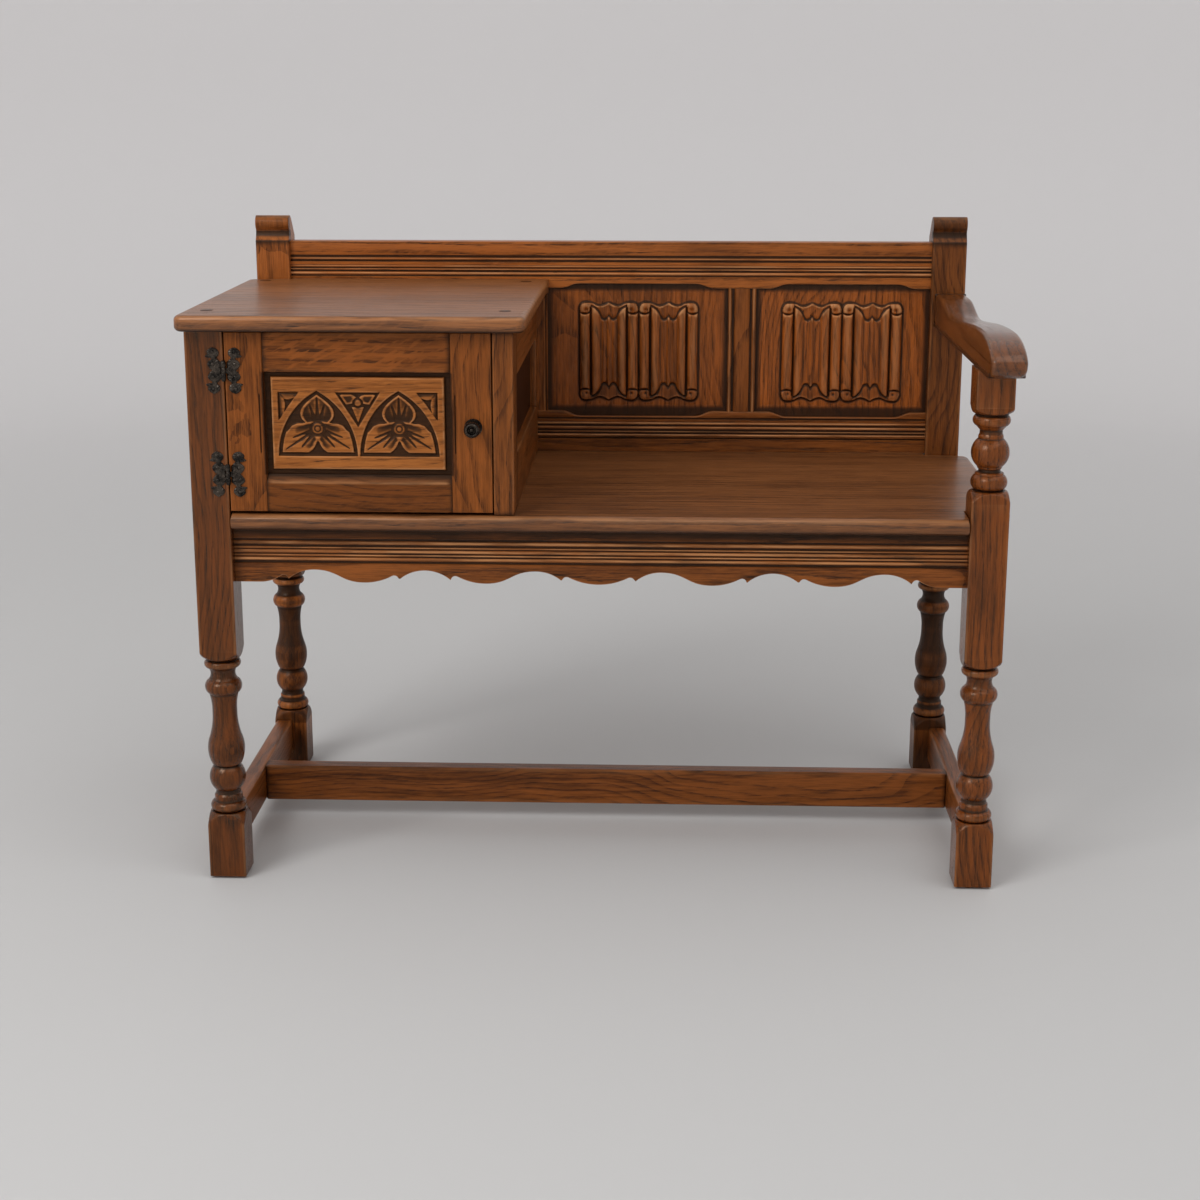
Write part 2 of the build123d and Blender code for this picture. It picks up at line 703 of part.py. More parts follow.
def shaped_edge(x0, x1, end_z, middle_z):
    """One opening's worth of rail edge: level, reverse curve, level, curve, level."""
    a, b = x0 + ogee_flat, x0 + ogee_flat + ogee_run
    c, d = x1 - ogee_flat - ogee_run, x1 - ogee_flat
    return [Line((x0, end_z), (a, end_z)), ogee(a, end_z, b, middle_z),
            Line((b, middle_z), (c, middle_z)), ogee(c, middle_z, d, end_z),
            Line((d, end_z), (x1, end_z))]


def rail_outline(edge_z, middle_z, far_z):
    """A back rail seen from the front, shaped over the two carved openings."""
    edges = [Line((back_left_x, edge_z), (stile_high_x, edge_z))]
    edges += shaped_edge(stile_high_x, muntin_x, edge_z, middle_z)
    edges.append(Line((muntin_x, edge_z), (muntin_end_x, edge_z)))
    edges += shaped_edge(muntin_end_x, back_right_x, edge_z, middle_z)
    edges.append(Line((back_right_x, edge_z), (back_right_x, far_z)))
    edges.append(Line((back_right_x, far_z), (back_left_x, far_z)))
    edges.append(Line((back_left_x, far_z), (back_left_x, edge_z)))
    return outline(edges)


def back_rails():
    """The moulded top and bottom rails of the back, grooved for the panels."""
    front, rear = back_face_y, back_rear_y
    ends = (back_left_x, back_right_x)
    top_shape = rail_outline(back_top_rail_low_z, back_top_rail_low_z + top_ogee_rise, back_top_z)
    section = moulded_section(front, rear, back_top_z, back_top_rail_low_z, TOP_RAIL_MOULDING)
    top = prism_x(section, *ends) & prism_y(top_shape, front, rear)
    top -= block(*ends, *groove, back_top_rail_low_z - 1, panel_high_z + groove_spare)
    low_shape = rail_outline(back_bottom_rail_top_z, back_bottom_rail_top_z - bottom_ogee_fall,
                             seat_height)
    section = moulded_section(front, rear, back_bottom_rail_top_z, seat_height,
                              BOTTOM_RAIL_MOULDING)
    low = prism_x(section, *ends) & prism_y(low_shape, front, rear)
    low -= block(*ends, *groove, panel_low_z - groove_spare, back_bottom_rail_top_z + 1)
    for x, reach, post in ((ends[0], -long_tenon, "rear_post_left"),
                           (ends[1], long_tenon, "rear_post_right")):
        top += tenon_x(post, x, reach, front, rear, panel_high_z, back_top_z)
        low += tenon_x(post, x, reach, front, rear, seat_height, panel_low_z)
    parts["back_top_rail"] = top
    parts["back_bottom_rail"] = low


def upright(x0, x1, steps):
    """A moulded upright of the back, grooved at both sides, with tongues at its ends."""
    low_z, high_z = back_bottom_rail_top_z, back_top_rail_low_z
    section = moulded_section(back_face_y, back_rear_y, x0, x1, steps, 1)
    piece = prism_down(section, low_z, high_z)
    depth = panel_tongue + groove_spare
    piece -= block(x0, x0 + depth, *groove, low_z, high_z)
    piece -= block(x1 - depth, x1, *groove, low_z, high_z)
    piece += block(x0 + depth, x1 - depth, panel_field_y, panel_field_y + panel_thickness,
                   panel_low_z, panel_high_z)
    return piece


def back_uprights():
    """The muntin between the carved panels and the stile beside the cabinet."""
    parts["back_muntin"] = upright(muntin_x, muntin_end_x, MUNTIN_MOULDING)
    plain = stile_high_x - stile_low_x - sum(height for shape, height in STILE_MOULDING)
    parts["back_stile"] = upright(stile_low_x, stile_high_x, [("flat", plain)] + STILE_MOULDING)


def panel_board(x0, x1):
    """A flat panel that fills an opening of the back, with its edges in the grooves."""
    return block(x0 - panel_tongue, x1 + panel_tongue, panel_field_y,
                 panel_field_y + panel_thickness, panel_low_z, panel_high_z)


def fold(x0, x1, z0, z1):
    """One upright rounded fold of the linenfold carving, with rounded ends."""
    half = (x1 - x0) / 2
    middle = (x0 + x1) / 2
    ground = panel_field_y
    edges = [ThreePointArc((x0, ground), (middle, ground - linen_relief), (x1, ground)),
             Line((x1, ground), (x0, ground))]
    length = prism_z(outline(edges), z0, z1)
    ends = [Line((x0, z0 + half), (x0, z1 - half)),
            ThreePointArc((x0, z1 - half), (middle, z1), (x1, z1 - half)),
            Line((x1, z1 - half), (x1, z0 + half)),
            ThreePointArc((x1, z0 + half), (middle, z0), (x0, z0 + half))]
    return length & prism_y(outline(ends), ground - linen_relief - 1, ground)


def linenfold(x):
    """The folds of one carved napkin, from its left edge at x."""
    z0, z1 = linen_low_z, linen_high_z
    mirrored = x + linen_width
    middle = x + linen_width / 2
    folds = [fold(x, x + roll_width, z0, z1), fold(mirrored - roll_width, mirrored, z0, z1)]
    for low, high in ((x + fold_low, x + fold_high), (mirrored - fold_high, mirrored - fold_low)):
        folds.append(fold(low, high, z0 + fold_trim, z1 - fold_trim))
    half = ridge_width / 2
    folds.append(fold(middle - half, middle + half, z0 + hollow_trim, z1 - hollow_trim))
    for low_z, high_z in ((z0, z0 + hollow_trim), (z1 - hollow_trim, z1)):
        for side in (-1, 1):
            centre = middle + side * (fold_high - roll_width / 2 - half) / 2
            width = (linen_width / 2 - fold_high - half) / 2
            folds.append(fold(centre - width, centre + width, low_z, high_z))
    return folds


def back_panels():
    """Two linenfold panels and the plain panel behind the cabinet."""
    openings = {"linenfold_panel_left": (stile_high_x, muntin_x, linen_left_share),
                "linenfold_panel_right": (muntin_end_x, back_right_x, linen_right_share)}
    for name, (x0, x1, share) in openings.items():
        panel = panel_board(x0, x1)
        first = x0 + share * (x1 - x0 - 2 * linen_width - linen_gap)
        for start in (first, first + linen_width + linen_gap):
            for piece in linenfold(start):
                panel += piece
        parts[name] = panel
    parts["back_panel_plain"] = panel_board(back_left_x, stile_low_x)


# ------------------------------------------------------------------ arm
def swell(y0, z0, y1, z1, leave, arrive):
    """A level-to-level curve, held level for these shares of its run at its two ends."""
    run = y1 - y0
    return Bezier((y0, z0), (y0 + leave * run, z0), (y1 - arrive * run, z1), (y1, z1))


def arm_rest():
    """The shaped arm: dipped on top, with a round nose that reaches past the leg."""
    nose_y = -arm_nose_reach
    dip_y = arm_dip_share * post_face_y
    flat_y = post_face_y - arm_flat_length
    under_y = nose_y + arm_nose_under
    over, under = arm_front_z - arm_nose_z, arm_nose_z - arm_low_z
    edges = [
        Line((post_face_y, arm_rear_z), (flat_y, arm_rear_z)),
        swell(flat_y, arm_rear_z, dip_y, arm_dip_z, 1 / 3, 2 / 5),
        swell(dip_y, arm_dip_z, 0, arm_front_z, 1 / 4, 3 / 7),
        Bezier((0, arm_front_z), (nose_y * 3 / 5, arm_front_z), (nose_y, arm_nose_z + over * 3 / 7),
               (nose_y, arm_nose_z)),
        Bezier((nose_y, arm_nose_z), (nose_y, arm_nose_z - under * 5 / 8),
               (under_y - arm_nose_under * 5 / 8, arm_low_z), (under_y, arm_low_z)),
        Line((under_y, arm_low_z), (post_face_y, arm_low_z)),
        Line((post_face_y, arm_low_z), (post_face_y, arm_rear_z)),
    ]
    x0, x1 = arm_inner_x, arm_inner_x + arm_width
    arm = prism_x(outline(edges), x0, x1)
    sides = [edge for edge in arm.edges() if edge.length > 2 * arm_width or edge_on_nose(edge)]
    upper = [edge for edge in sides if edge.center().Z > arm_low_z + 5]
    arm = fillet(upper, arm_round)
    arm += tenon_y("rear_post_right", post_face_y, long_tenon, x0, x1, arm_low_z, arm_rear_z)
    parts["arm_rest"] = arm


def edge_on_nose(edge):
    """True for the side edges of the arm in front of the leg and by the post."""
    return abs(edge.tangent_at(0.5).X) < 0.5 and edge.center().Y < post_face_y - 1


# ------------------------------------------------------------------ cabinet
def cabinet_top():
    """The small table top, notched round the rear post, with plugged screw holes."""
    left, right = cabinet_top_left_x, cabinet_top_right_x
    inner = back_left_x + notch_gap
    rear = post_face_y - notch_gap
    shape = polygon((left, cabinet_top_front_y), (right, cabinet_top_front_y),
                    (right, back_face_y), (inner, back_face_y), (inner, rear), (left, rear))
    top = prism_z(shape, cabinet_under_z, cabinet_top_z)
    front = [edge for edge in top.edges().filter_by(Axis.Z)
             if edge.center().Y < 0 or edge.center().X < 0]
    top = fillet(front, cabinet_top_corner)
    free = [edge for edge in top.edges().filter_by(Plane.XY)
            if edge.center().Y < rear - cabinet_top_corner
            or edge.center().X < left + cabinet_top_corner]
    top = fillet(free, cabinet_top_round)
    plugs = []
    screws = []
    for x, y in plug_places:
        seat_z = cabinet_top_z - plug_depth
        shank_z = cabinet_top_z - top_screw_length
        top -= rod_z(x, y, seat_z, cabinet_top_z + 1, plug_radius + fit)
        plugs.append(rod_z(x, y, seat_z, cabinet_top_z, plug_radius))
        head_z = seat_z - screw_head_height
        top -= rod_z(x, y, head_z, seat_z + 1, screw_head_radius + screw_room)
        shank_hole = rod_z(x, y, shank_z - 1, head_z + 1, top_screw_radius + screw_room)
        top -= shank_hole
        for piece in screwed_pieces(x):
            cut_later(piece, shank_hole)
        screws.append(rod_z(x, y, head_z, seat_z, screw_head_radius)
                      + rod_z(x, y, shank_z, head_z, top_screw_radius))
    parts["cabinet_top"] = top
    parts["top_plugs"] = joined(plugs)
    parts["top_screws"] = joined(screws)


def screwed_pieces(x):
    """The upright and the rail that the screws at x bite into, through the rail's tenon."""
    if x < cabinet_top_right_x / 2:
        return ("front_leg_left", "end_top_rail")
    return ("side_front_stile", "side_top_rail")


def framed_side(prefix, x0, x1, y0, y1, front, rear, panel_x):
    """Two rails and a panel between two uprights, grooved together."""
    low, high = seat_height, cabinet_under_z
    low_z = low + side_bottom_rail_height
    high_z = high - side_top_rail_height
    depth = panel_tongue + groove_spare
    slot = (panel_x - fit, panel_x + side_panel_thickness + fit)
    for name, z0, z1 in (("bottom_rail", low, low_z), ("top_rail", high_z, high)):
        rail = block(x0, x1, y0, y1, z0, z1)
        edge = (z1 - depth, z1) if name == "bottom_rail" else (z0, z0 + depth)
        rail -= block(*slot, y0, y1, *edge)
        rail += tenon_y(front, y0, -long_tenon, x0, x1, z0, z1)
        rail += tenon_y(rear, y1, short_tenon, x0, x1, z0, z1)
        parts[prefix + name] = rail
    parts[prefix + "panel"] = block(panel_x, panel_x + side_panel_thickness, y0 - panel_tongue,
                                    y1 + panel_tongue, low_z - panel_tongue, high_z + panel_tongue)
    reach = (low_z - depth, high_z + depth)
    cut_later(front, block(*slot, y0 - depth, y0, *reach))
    cut_later(rear, block(*slot, y1, y1 + depth, *reach))


def cabinet_sides():
    """The cabinet's left end, between leg and post, and its free right side."""
    left_x = rail_inset
    framed_side("end_", left_x, left_x + side_frame_thickness, *rail_y, "front_leg_left",
                "rear_post_left", left_x + side_panel_recess)
    outer = cabinet_side_x
    x0 = outer - side_frame_thickness
    rear_y = back_face_y - rear_stile_depth
    z = (seat_height, cabinet_under_z)
    parts["side_front_stile"] = block(outer - front_stile_width, outer, 0, front_stile_depth, *z)
    parts["side_rear_stile"] = block(x0, outer, rear_y, back_face_y, *z)
    panel_x = outer - side_panel_recess - side_panel_thickness
    framed_side("side_", x0, outer, front_stile_depth, rear_y, "side_front_stile",
                "side_rear_stile", panel_x)


# ------------------------------------------------------------------ door
def door_frame():
    """Stiles and rails of the door, mortised together and grooved for the panel."""
    y = (0, door_thickness)
    z = (door_low_z, door_high_z)
    slot = (door_border_y - fit, door_panel_rear_y + fit)
    depth = panel_tongue + groove_spare
    hinge_stile = block(door_left_x, opening_x[0], *y, *z)
    lock_stile = block(opening_x[1], door_right_x, *y, *z)
    reach = (opening_z[0] - depth, opening_z[1] + depth)
    hinge_stile -= block(opening_x[0] - depth, opening_x[0], *slot, *reach)
    lock_stile -= block(opening_x[1], opening_x[1] + depth, *slot, *reach)
    scratch = (opening_z[0] + scratch_trim, opening_z[1] - scratch_trim)
    left_line = opening_x[0] - scratch_margin
    right_line = opening_x[1] + scratch_margin
    hinge_stile -= block(left_line - scratch_width, left_line, 0, scratch_width, *scratch)
    lock_stile -= block(right_line, right_line + scratch_width, 0, scratch_width, *scratch)
    top = block(*opening_x, *y, opening_z[1], z[1])
    top -= block(*opening_x, *slot, opening_z[1], opening_z[1] + depth)
    low = block(*opening_x, *y, z[0], opening_z[0])
    low -= block(*opening_x, *slot, opening_z[0] - depth, opening_z[0])
    sill = ((0, opening_z[0] - door_sill_height), (0, opening_z[0]), (door_sill_depth, opening_z[0]))
    low -= prism_x(polygon(*sill), *opening_x)
    for x, reach, stile in ((opening_x[0], -long_tenon, "door_hinge_stile"),
                            (opening_x[1], long_tenon, "door_lock_stile")):
        top += tenon_x(stile, x, reach, *y, opening_z[1], z[1])
        low += tenon_x(stile, x, reach, *y, z[0], opening_z[0])
    parts["door_hinge_stile"] = hinge_stile
    parts["door_lock_stile"] = lock_stile
    parts["door_top_rail"] = top
    parts["door_bottom_rail"] = low


def pointed_arch(x, width, low_z):
    """An equilateral pointed arch on the middle line x."""
    half = width / 2
    apex = (x, low_z + width * sqrt(3) / 2)
    side = width * sqrt(3) / 2
    edges = [Line((x - half, low_z), (x + half, low_z))]
    for way in (-1, 1):
        foot = (x + way * half, low_z)
        middle = (x - way * half + way * side, low_z + width / 2)
        edges.append(ThreePointArc(foot, middle, apex))
    return outline(edges)


def petals(x):
    """Three broad petals and a button, which fill a pointed arch."""
    low_z = arch_low_z
    shape = Sketch()
    for dx, dz, radius in ((-21.0, 17.0, 19.0), (21.0, 17.0, 19.0), (0.0, 57.0, 18.0)):
        shape += Pos(x + dx, low_z + dz) * Circle(radius)
    shape -= Pos(x, low_z + button_rise) * Circle(button_radius + 2)
    shape &= pointed_arch(x, arch_width - 8, low_z + 3)
    return shape + Pos(x, low_z + button_rise) * Circle(button_radius)


def door_panel():
    """The raised panel with its two tracery arches and the pierced-looking corners."""
    tongue = (opening_x[0] - panel_tongue, opening_x[1] + panel_tongue)
    panel = block(*tongue, door_border_y, door_panel_rear_y, opening_z[0] - panel_tongue,
                  opening_z[1] + panel_tongue)
    field_x = (opening_x[0] + door_field_side_margin, opening_x[1] - door_field_side_margin)
    panel += block(*field_x, door_field_y, door_border_y, opening_z[0] + door_field_low_margin,
                   opening_z[1] - door_field_top_margin)
    middle = sum(opening_x) / 2
    spacing = (arch_width + arch_gap) / 2
    ground = door_field_y + tracery_depth
    half = arch_width / 2
    for side in (-1, 1):
        x = middle + side * spacing
        panel -= prism_y(pointed_arch(x, arch_width, arch_low_z), door_field_y, ground)
        panel += prism_y(petals(x), ground - petal_relief, ground)
        outer = x + side * half
        corner = polygon((outer, spandrel_top_z), (outer - side * (spandrel_reach - 4), spandrel_top_z),
                         (outer, spandrel_top_z - spandrel_reach - 4))
        panel -= prism_y(corner, door_field_y, ground)
    reach = spandrel_reach - 3
    triangle = polygon((middle - reach, spandrel_top_z), (middle + reach, spandrel_top_z),
                       (middle, spandrel_top_z - 1.55 * reach))
    panel -= prism_y(triangle, door_field_y, ground)
    button = Pos(middle, spandrel_top_z - 13) * Circle(small_button_radius)
    panel += prism_y(button, ground - petal_relief, ground)
    parts["door_carved_panel"] = panel


def knob_edges():
    """Half section of the knob: (radius, distance from the plate)."""
    neck = 4.5
    swell = knob_length - 7
    dimple = knob_length - 1.8
    return [
        Line((knob_screw_radius + screw_room, 0), (neck + 1.5, 0)),
        ThreePointArc((neck + 1.5, 0), (neck, 4), (neck + 1, swell - 5)),
        ThreePointArc((neck + 1, swell - 5), (knob_radius - 1, swell - 3), (knob_radius, swell)),
        ThreePointArc((knob_radius, swell), (knob_radius - 2, knob_length - 2.5), (4.5, knob_length)),
        Line((4.5, knob_length), (3.8, knob_length - 1)),
        TangentArc((0, dimple), (3.8, knob_length - 1), tangent=(1, 0)),
        Line((0, dimple), (0, knob_screw_reach + 1)),
        Line((0, knob_screw_reach + 1), (knob_screw_radius + screw_room, knob_screw_reach + 1)),
        Line((knob_screw_radius + screw_room, knob_screw_reach + 1), (knob_screw_radius + screw_room, 0)),
    ]


def door_knob():
    """The round knob on its plate, held by one screw from inside the door."""
    x = door_right_x - knob_edge
    knob = revolve(Plane.XZ * outline(knob_edges()), axis=Axis.Z)
    parts["door_knob"] = Pos(x, -knob_plate_thickness, knob_z) * Rot(90, 0, 0) * knob
    plate = rod_y(x, -knob_plate_thickness, 0, knob_z, knob_radius + 1)
    bore = knob_screw_radius + screw_room
    parts["knob_plate"] = plate - rod_y(x, -knob_plate_thickness - 1, 1, knob_z, bore)
    cut_later("door_lock_stile", rod_y(x, -1, door_thickness + 1, knob_z, bore))
    rear = door_thickness + screw_head_height
    screw = rod_y(x, door_thickness, rear, knob_z, screw_head_radius)
    tip = -knob_plate_thickness - knob_screw_reach
    parts["knob_screw"] = screw + rod_y(x, tip, door_thickness, knob_z, knob_screw_radius)


# ------------------------------------------------------------------ hinges
def leaf_outline(way):
    """A scalloped leaf: (sideways from the pin, height from the hinge's middle)."""
    near, tip, top = hinge_leaf_near, hinge_leaf_reach, hinge_half_height
    bridge = 1.5 * knuckle_height + knuckle_gap
    step = knuckle_radius_clear
    edges = [Line((way * step, -bridge), (way * step, bridge))]
    for side in (-1, 1):
        corners = [(step, bridge), (near, bridge), (near, top - 6)]
        points = [(way * u, side * w) for u, w in corners]
        edges += [Line(points[0], points[1]), Line(points[1], points[2])]
        crown = (way * (near + 8), side * top)
        shoulder = (way * (near + 1.5), side * (top - 1.5))
        edges.append(ThreePointArc(points[2], shoulder, crown))
        hook = (way * tip, side * (top - 11))
        edges.append(ThreePointArc(crown, (way * (tip - 3), side * (top - 4)), hook))
        nick = (way * (tip - 7.5), side * (top - 12.5))
        edges.append(Line(hook, nick))
        waist = (way * (tip - 7), 0)
        edges.append(ThreePointArc(nick, (way * (tip - 2.5), side * (top - 12.5) / 2), waist))
    return outline(edges)


def hinge_leaf(way, height, own_knuckles):
    """One leaf on the face y = 0, with its own share of the barrel."""
    plate = prism_y(leaf_outline(way), -hinge_leaf_thickness, 0)
    for low, high in own_knuckles:
        plate += block(min(0, way * hinge_leaf_near), max(0, way * hinge_leaf_near),
                       -hinge_leaf_thickness, 0, low, high)
        plate += rod_z(0, hinge_axis_y, low, high, hinge_barrel_radius)
    plate -= rod_z(0, hinge_axis_y, -hinge_half_height, hinge_half_height,
                   hinge_pin_radius + pin_clearance)
    for row in nail_rows:
        plate -= rod_y(way * nail_offset, -hinge_leaf_thickness - 1, 1, row,
                       nail_shank_radius + nail_room)
    return Pos(hinge_axis_x, 0, height) * plate


def hinge_pin(height):
    """The pin of one hinge, with a round cap at each end."""
    half = 1.5 * knuckle_height + knuckle_gap
    pin = rod_z(hinge_axis_x, hinge_axis_y, height - half, height + half, hinge_pin_radius)
    for low, high in ((-half - pin_cap_height, -half), (half, half + pin_cap_height)):
        pin += rod_z(hinge_axis_x, hinge_axis_y, height + low, height + high, pin_cap_radius)
    return pin


def nail(x, z):
    """A round-headed iron nail driven through a hinge leaf at x, z."""
    radius, height = nail_head_radius, nail_head_height
    edges = [Line((0, 0), (radius, 0)), TangentArc((0, height), (radius, 0), tangent=(1, 0)),
             Line((0, height), (0, 0))]
    head = revolve(Plane.XZ * outline(edges), axis=Axis.Z)
    head = Pos(x, -hinge_leaf_thickness, z) * Rot(90, 0, 0) * head
    return head + rod_y(x, -hinge_leaf_thickness, nail_length, z, nail_shank_radius)


def hinges():
    """Both hinges: leaves nailed to the leg and to the door, and their pins."""
    half = 0.5 * knuckle_height
    outer = half + knuckle_gap
    stack = ((-outer - knuckle_height, -outer), (outer, outer + knuckle_height))
    nails = {"leg": [], "door": []}
    for place, height in hinge_z.items():
        parts["hinge_" + place + "_leg_leaf"] = hinge_leaf(-1, height, stack)
        parts["hinge_" + place + "_door_leaf"] = hinge_leaf(1, height, ((-half, half),))
        parts["hinge_" + place + "_pin"] = hinge_pin(height)
        for row in nail_rows:
            for side, way, wood in (("leg", -1, "front_leg_left"), ("door", 1, "door_hinge_stile")):
                x = hinge_axis_x + way * nail_offset
                nails[side].append(nail(x, height + row))
                cut_later(wood, rod_y(x, -1, nail_length + 1, height + row, nail_shank_radius + nail_room))
    parts["hinge_leg_nails"] = joined(nails["leg"])
    parts["hinge_door_nails"] = joined(nails["door"])


# ------------------------------------------------------------------ catch
def catch():
    """A small magnetic catch under the table top and its plate on the door."""
    x1 = door_right_x - catch_inset
    x0 = x1 - catch_width
    y0 = door_thickness + strike_thickness + catch_gap
    y1 = y0 + catch_depth
    z0 = cabinet_under_z - catch_height
    body = block(x0, x1, y0, y1, z0, cabinet_under_z)
    screws = []
    head = 1.2
    for x in (x0 + 5, x1 - 5):
        y = (y0 + y1) / 2
        bite_z = cabinet_under_z + catch_screw_bite
        hole = rod_z(x, y, z0 - 1, bite_z + 1, small_screw_radius + screw_room)
        body -= hole
        cut_later("cabinet_top", hole)
        screws.append(rod_z(x, y, z0 - head, z0, 2 * small_screw_radius)
                      + rod_z(x, y, z0, bite_z, small_screw_radius))
    parts["catch_body"] = body
    parts["catch_screws"] = joined(screws)
    middle = (x0 + x1) / 2
    strike_z = (z0 - 1, door_high_z - 1)
    strike_y = (door_thickness, door_thickness + strike_thickness)
    strike = block(x0 + 3, x1 - 3, *strike_y, *strike_z)
    tip_y = door_thickness - strike_screw_length
    height = sum(strike_z) / 2
    hole = rod_y(middle, tip_y - 1, strike_y[1] + 1, height, small_screw_radius + screw_room)
    cut_later("door_lock_stile", hole)
    parts["strike_plate"] = strike - hole
    parts["strike_screw"] = rod_y(middle, tip_y, strike_y[1], height, small_screw_radius)


# ------------------------------------------------------------------ all together
def build():
    """Make every piece in its place."""
    front_legs()
    rear_posts()
    foot_glides()
    side_stretchers()
    centre_stretcher()
    plain_aprons()
    front_apron()
    seat_board()
    seat_blocks()
    back_rails()
    back_uprights()
    back_panels()
    arm_rest()
    cabinet_top()
    cabinet_sides()
    door_frame()
    door_panel()
    door_knob()
    hinges()
    catch()
    make_cuts()


build()
os.makedirs("parts", exist_ok=True)
for name, piece in parts.items():
    centred = Pos(-middle_x, -middle_y, 0) * piece
    export_step(centred, os.path.join("parts", name + ".step"))
print(len(parts), "pieces")
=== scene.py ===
# %% [markdown]
# # A telephone bench in turned and carved oak
# The bench is a seat with one arm and a small cupboard under a table top. The packed
# model gives every piece's exact place, so this lesson adds what a maker's hands add:
# rounded arrises, crisp mouldings, carving, and a brown polish with dark glaze in the
# hollows. It starts by loading that model as a fixed frame.
# %% Load the frame
import json
from math import radians
import bpy
import numpy as np
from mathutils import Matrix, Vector

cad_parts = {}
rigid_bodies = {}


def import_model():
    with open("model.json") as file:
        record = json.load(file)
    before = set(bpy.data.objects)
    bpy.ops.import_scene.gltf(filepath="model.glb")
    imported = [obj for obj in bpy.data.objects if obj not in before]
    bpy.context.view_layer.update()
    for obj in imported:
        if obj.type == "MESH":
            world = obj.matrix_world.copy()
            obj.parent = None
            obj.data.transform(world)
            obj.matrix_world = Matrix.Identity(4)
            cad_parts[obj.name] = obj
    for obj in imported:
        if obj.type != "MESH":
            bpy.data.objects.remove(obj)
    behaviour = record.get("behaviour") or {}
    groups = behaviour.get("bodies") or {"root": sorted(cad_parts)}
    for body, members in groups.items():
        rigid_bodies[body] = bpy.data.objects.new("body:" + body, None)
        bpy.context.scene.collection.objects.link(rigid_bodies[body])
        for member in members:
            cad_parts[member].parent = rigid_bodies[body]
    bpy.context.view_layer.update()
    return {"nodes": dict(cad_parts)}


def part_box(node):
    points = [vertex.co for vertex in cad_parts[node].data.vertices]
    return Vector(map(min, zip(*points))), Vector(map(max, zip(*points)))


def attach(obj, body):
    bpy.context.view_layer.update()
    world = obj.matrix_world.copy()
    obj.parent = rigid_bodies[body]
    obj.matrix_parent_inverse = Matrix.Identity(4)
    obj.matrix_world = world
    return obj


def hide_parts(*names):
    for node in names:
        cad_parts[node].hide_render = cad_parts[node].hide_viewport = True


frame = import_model()
nodes = frame["nodes"]
print("pieces in the frame:", len(nodes))

# %% [markdown]
# ## Measures
# A joiner measures from the piece itself, so all sizes here are in millimetres from the
# left leg's outer face, the front of the legs and the floor. One small function moves
# them to the frame, whose origin is the middle of the bench on the floor, in metres.
# %% Measures
ORIGIN = np.array([480.0, 181.5, 0.0])


def metres(points):
    """Subtracts the frame's origin and divides by a thousand."""
    return (np.asarray(points, float) - ORIGIN) / 1000


def limits(node):
    """The lowest and highest corner of a node, in millimetres from the left leg."""
    low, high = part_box(node)
    return np.array(low) * 1000 + ORIGIN, np.array(high) * 1000 + ORIGIN


table_low, table_high = limits("cabinet_top")
print("table top from", table_low.round(1), "to", table_high.round(1))

# %% [markdown]
# ## From arrays to meshes
# Every new piece is a grid of points computed with numpy. It could be made with cubes and
# modifiers, but a formula keeps each piece at its exact size and lets it carry two masks
# for the polish: "glaze", where dark stain gathers and, on some pieces, painted shade
# falls, and "wear", where hands rub it off and, on some pieces, a painted highlight lies.
# %% Mesh helpers
def signed_volume(points, quads, polygons):
    """Sum of the tetrahedra from the middle to each face: negative if faces point inwards."""
    p = points - points.mean(axis=0)
    a, b, c, d = (p[quads[:, k]] for k in range(4))
    total = np.einsum("ij,ij->", a, np.cross(b, c)) + np.einsum("ij,ij->", a, np.cross(c, d))
    for polygon in polygons:
        q = p[polygon]
        total += np.einsum("ij,ij->", np.broadcast_to(q[0], q[1:-1].shape),
                           np.cross(q[1:-1], q[2:]))
    return total


def outward(points, quads, polygons):
    """The faces as they are, or all of them turned over where they point inwards."""
    if signed_volume(points, quads, polygons) < 0:
        return quads[:, ::-1], [polygon[::-1] for polygon in polygons]
    return quads, polygons


def make_mesh(name, points, quads, polygons, masks, sharp):
    """Puts arrays of points, four-sided faces and end polygons into a closed mesh object.

    Edges that turn by more than the angle sharp, in degrees, are shaded as crisp ones.
    """
    points = points.reshape(-1, 3)
    quads, polygons = outward(points, quads, polygons)
    sizes = np.array([4] * len(quads) + [len(polygon) for polygon in polygons], np.int32)
    corners = np.concatenate([quads.ravel(), *polygons]).astype(np.int32)
    mesh = bpy.data.meshes.new(name)
    mesh.vertices.add(len(points))
    mesh.vertices.foreach_set("co", metres(points).ravel())
    mesh.loops.add(len(corners))
    mesh.loops.foreach_set("vertex_index", corners)
    mesh.polygons.add(len(sizes))
    mesh.polygons.foreach_set("loop_start", np.concatenate([[0], np.cumsum(sizes)[:-1]]))
    mesh.update(calc_edges=True)
    mesh.validate()
    for mask, values in masks.items():
        layer = mesh.attributes.new(mask, "FLOAT", "POINT")
        layer.data.foreach_set("value", np.clip(values, 0, 1).ravel())
    mesh.polygons.foreach_set("use_smooth", np.ones(len(sizes), bool))
    mesh.set_sharp_from_angle(angle=radians(sharp))
    piece = bpy.data.objects.new(name, mesh)
    bpy.context.collection.objects.link(piece)
    return piece


def grid_quads(rows, columns, closed):
    """Faces between neighbouring rows and columns; the last column meets the first if closed."""
    i = np.arange(rows - 1)[:, None]
    j = np.arange(columns if closed else columns - 1)[None, :]
    k = (j + 1) % columns
    square = np.stack(np.broadcast_arrays(i * columns + j, i * columns + k,
                                          (i + 1) * columns + k, (i + 1) * columns + j), -1)
    return square.reshape(-1, 4)


def end_faces(rows, columns):
    """The first ring and the last ring, each as one polygon."""
    return [np.arange(columns)[::-1], np.arange(columns) + (rows - 1) * columns]


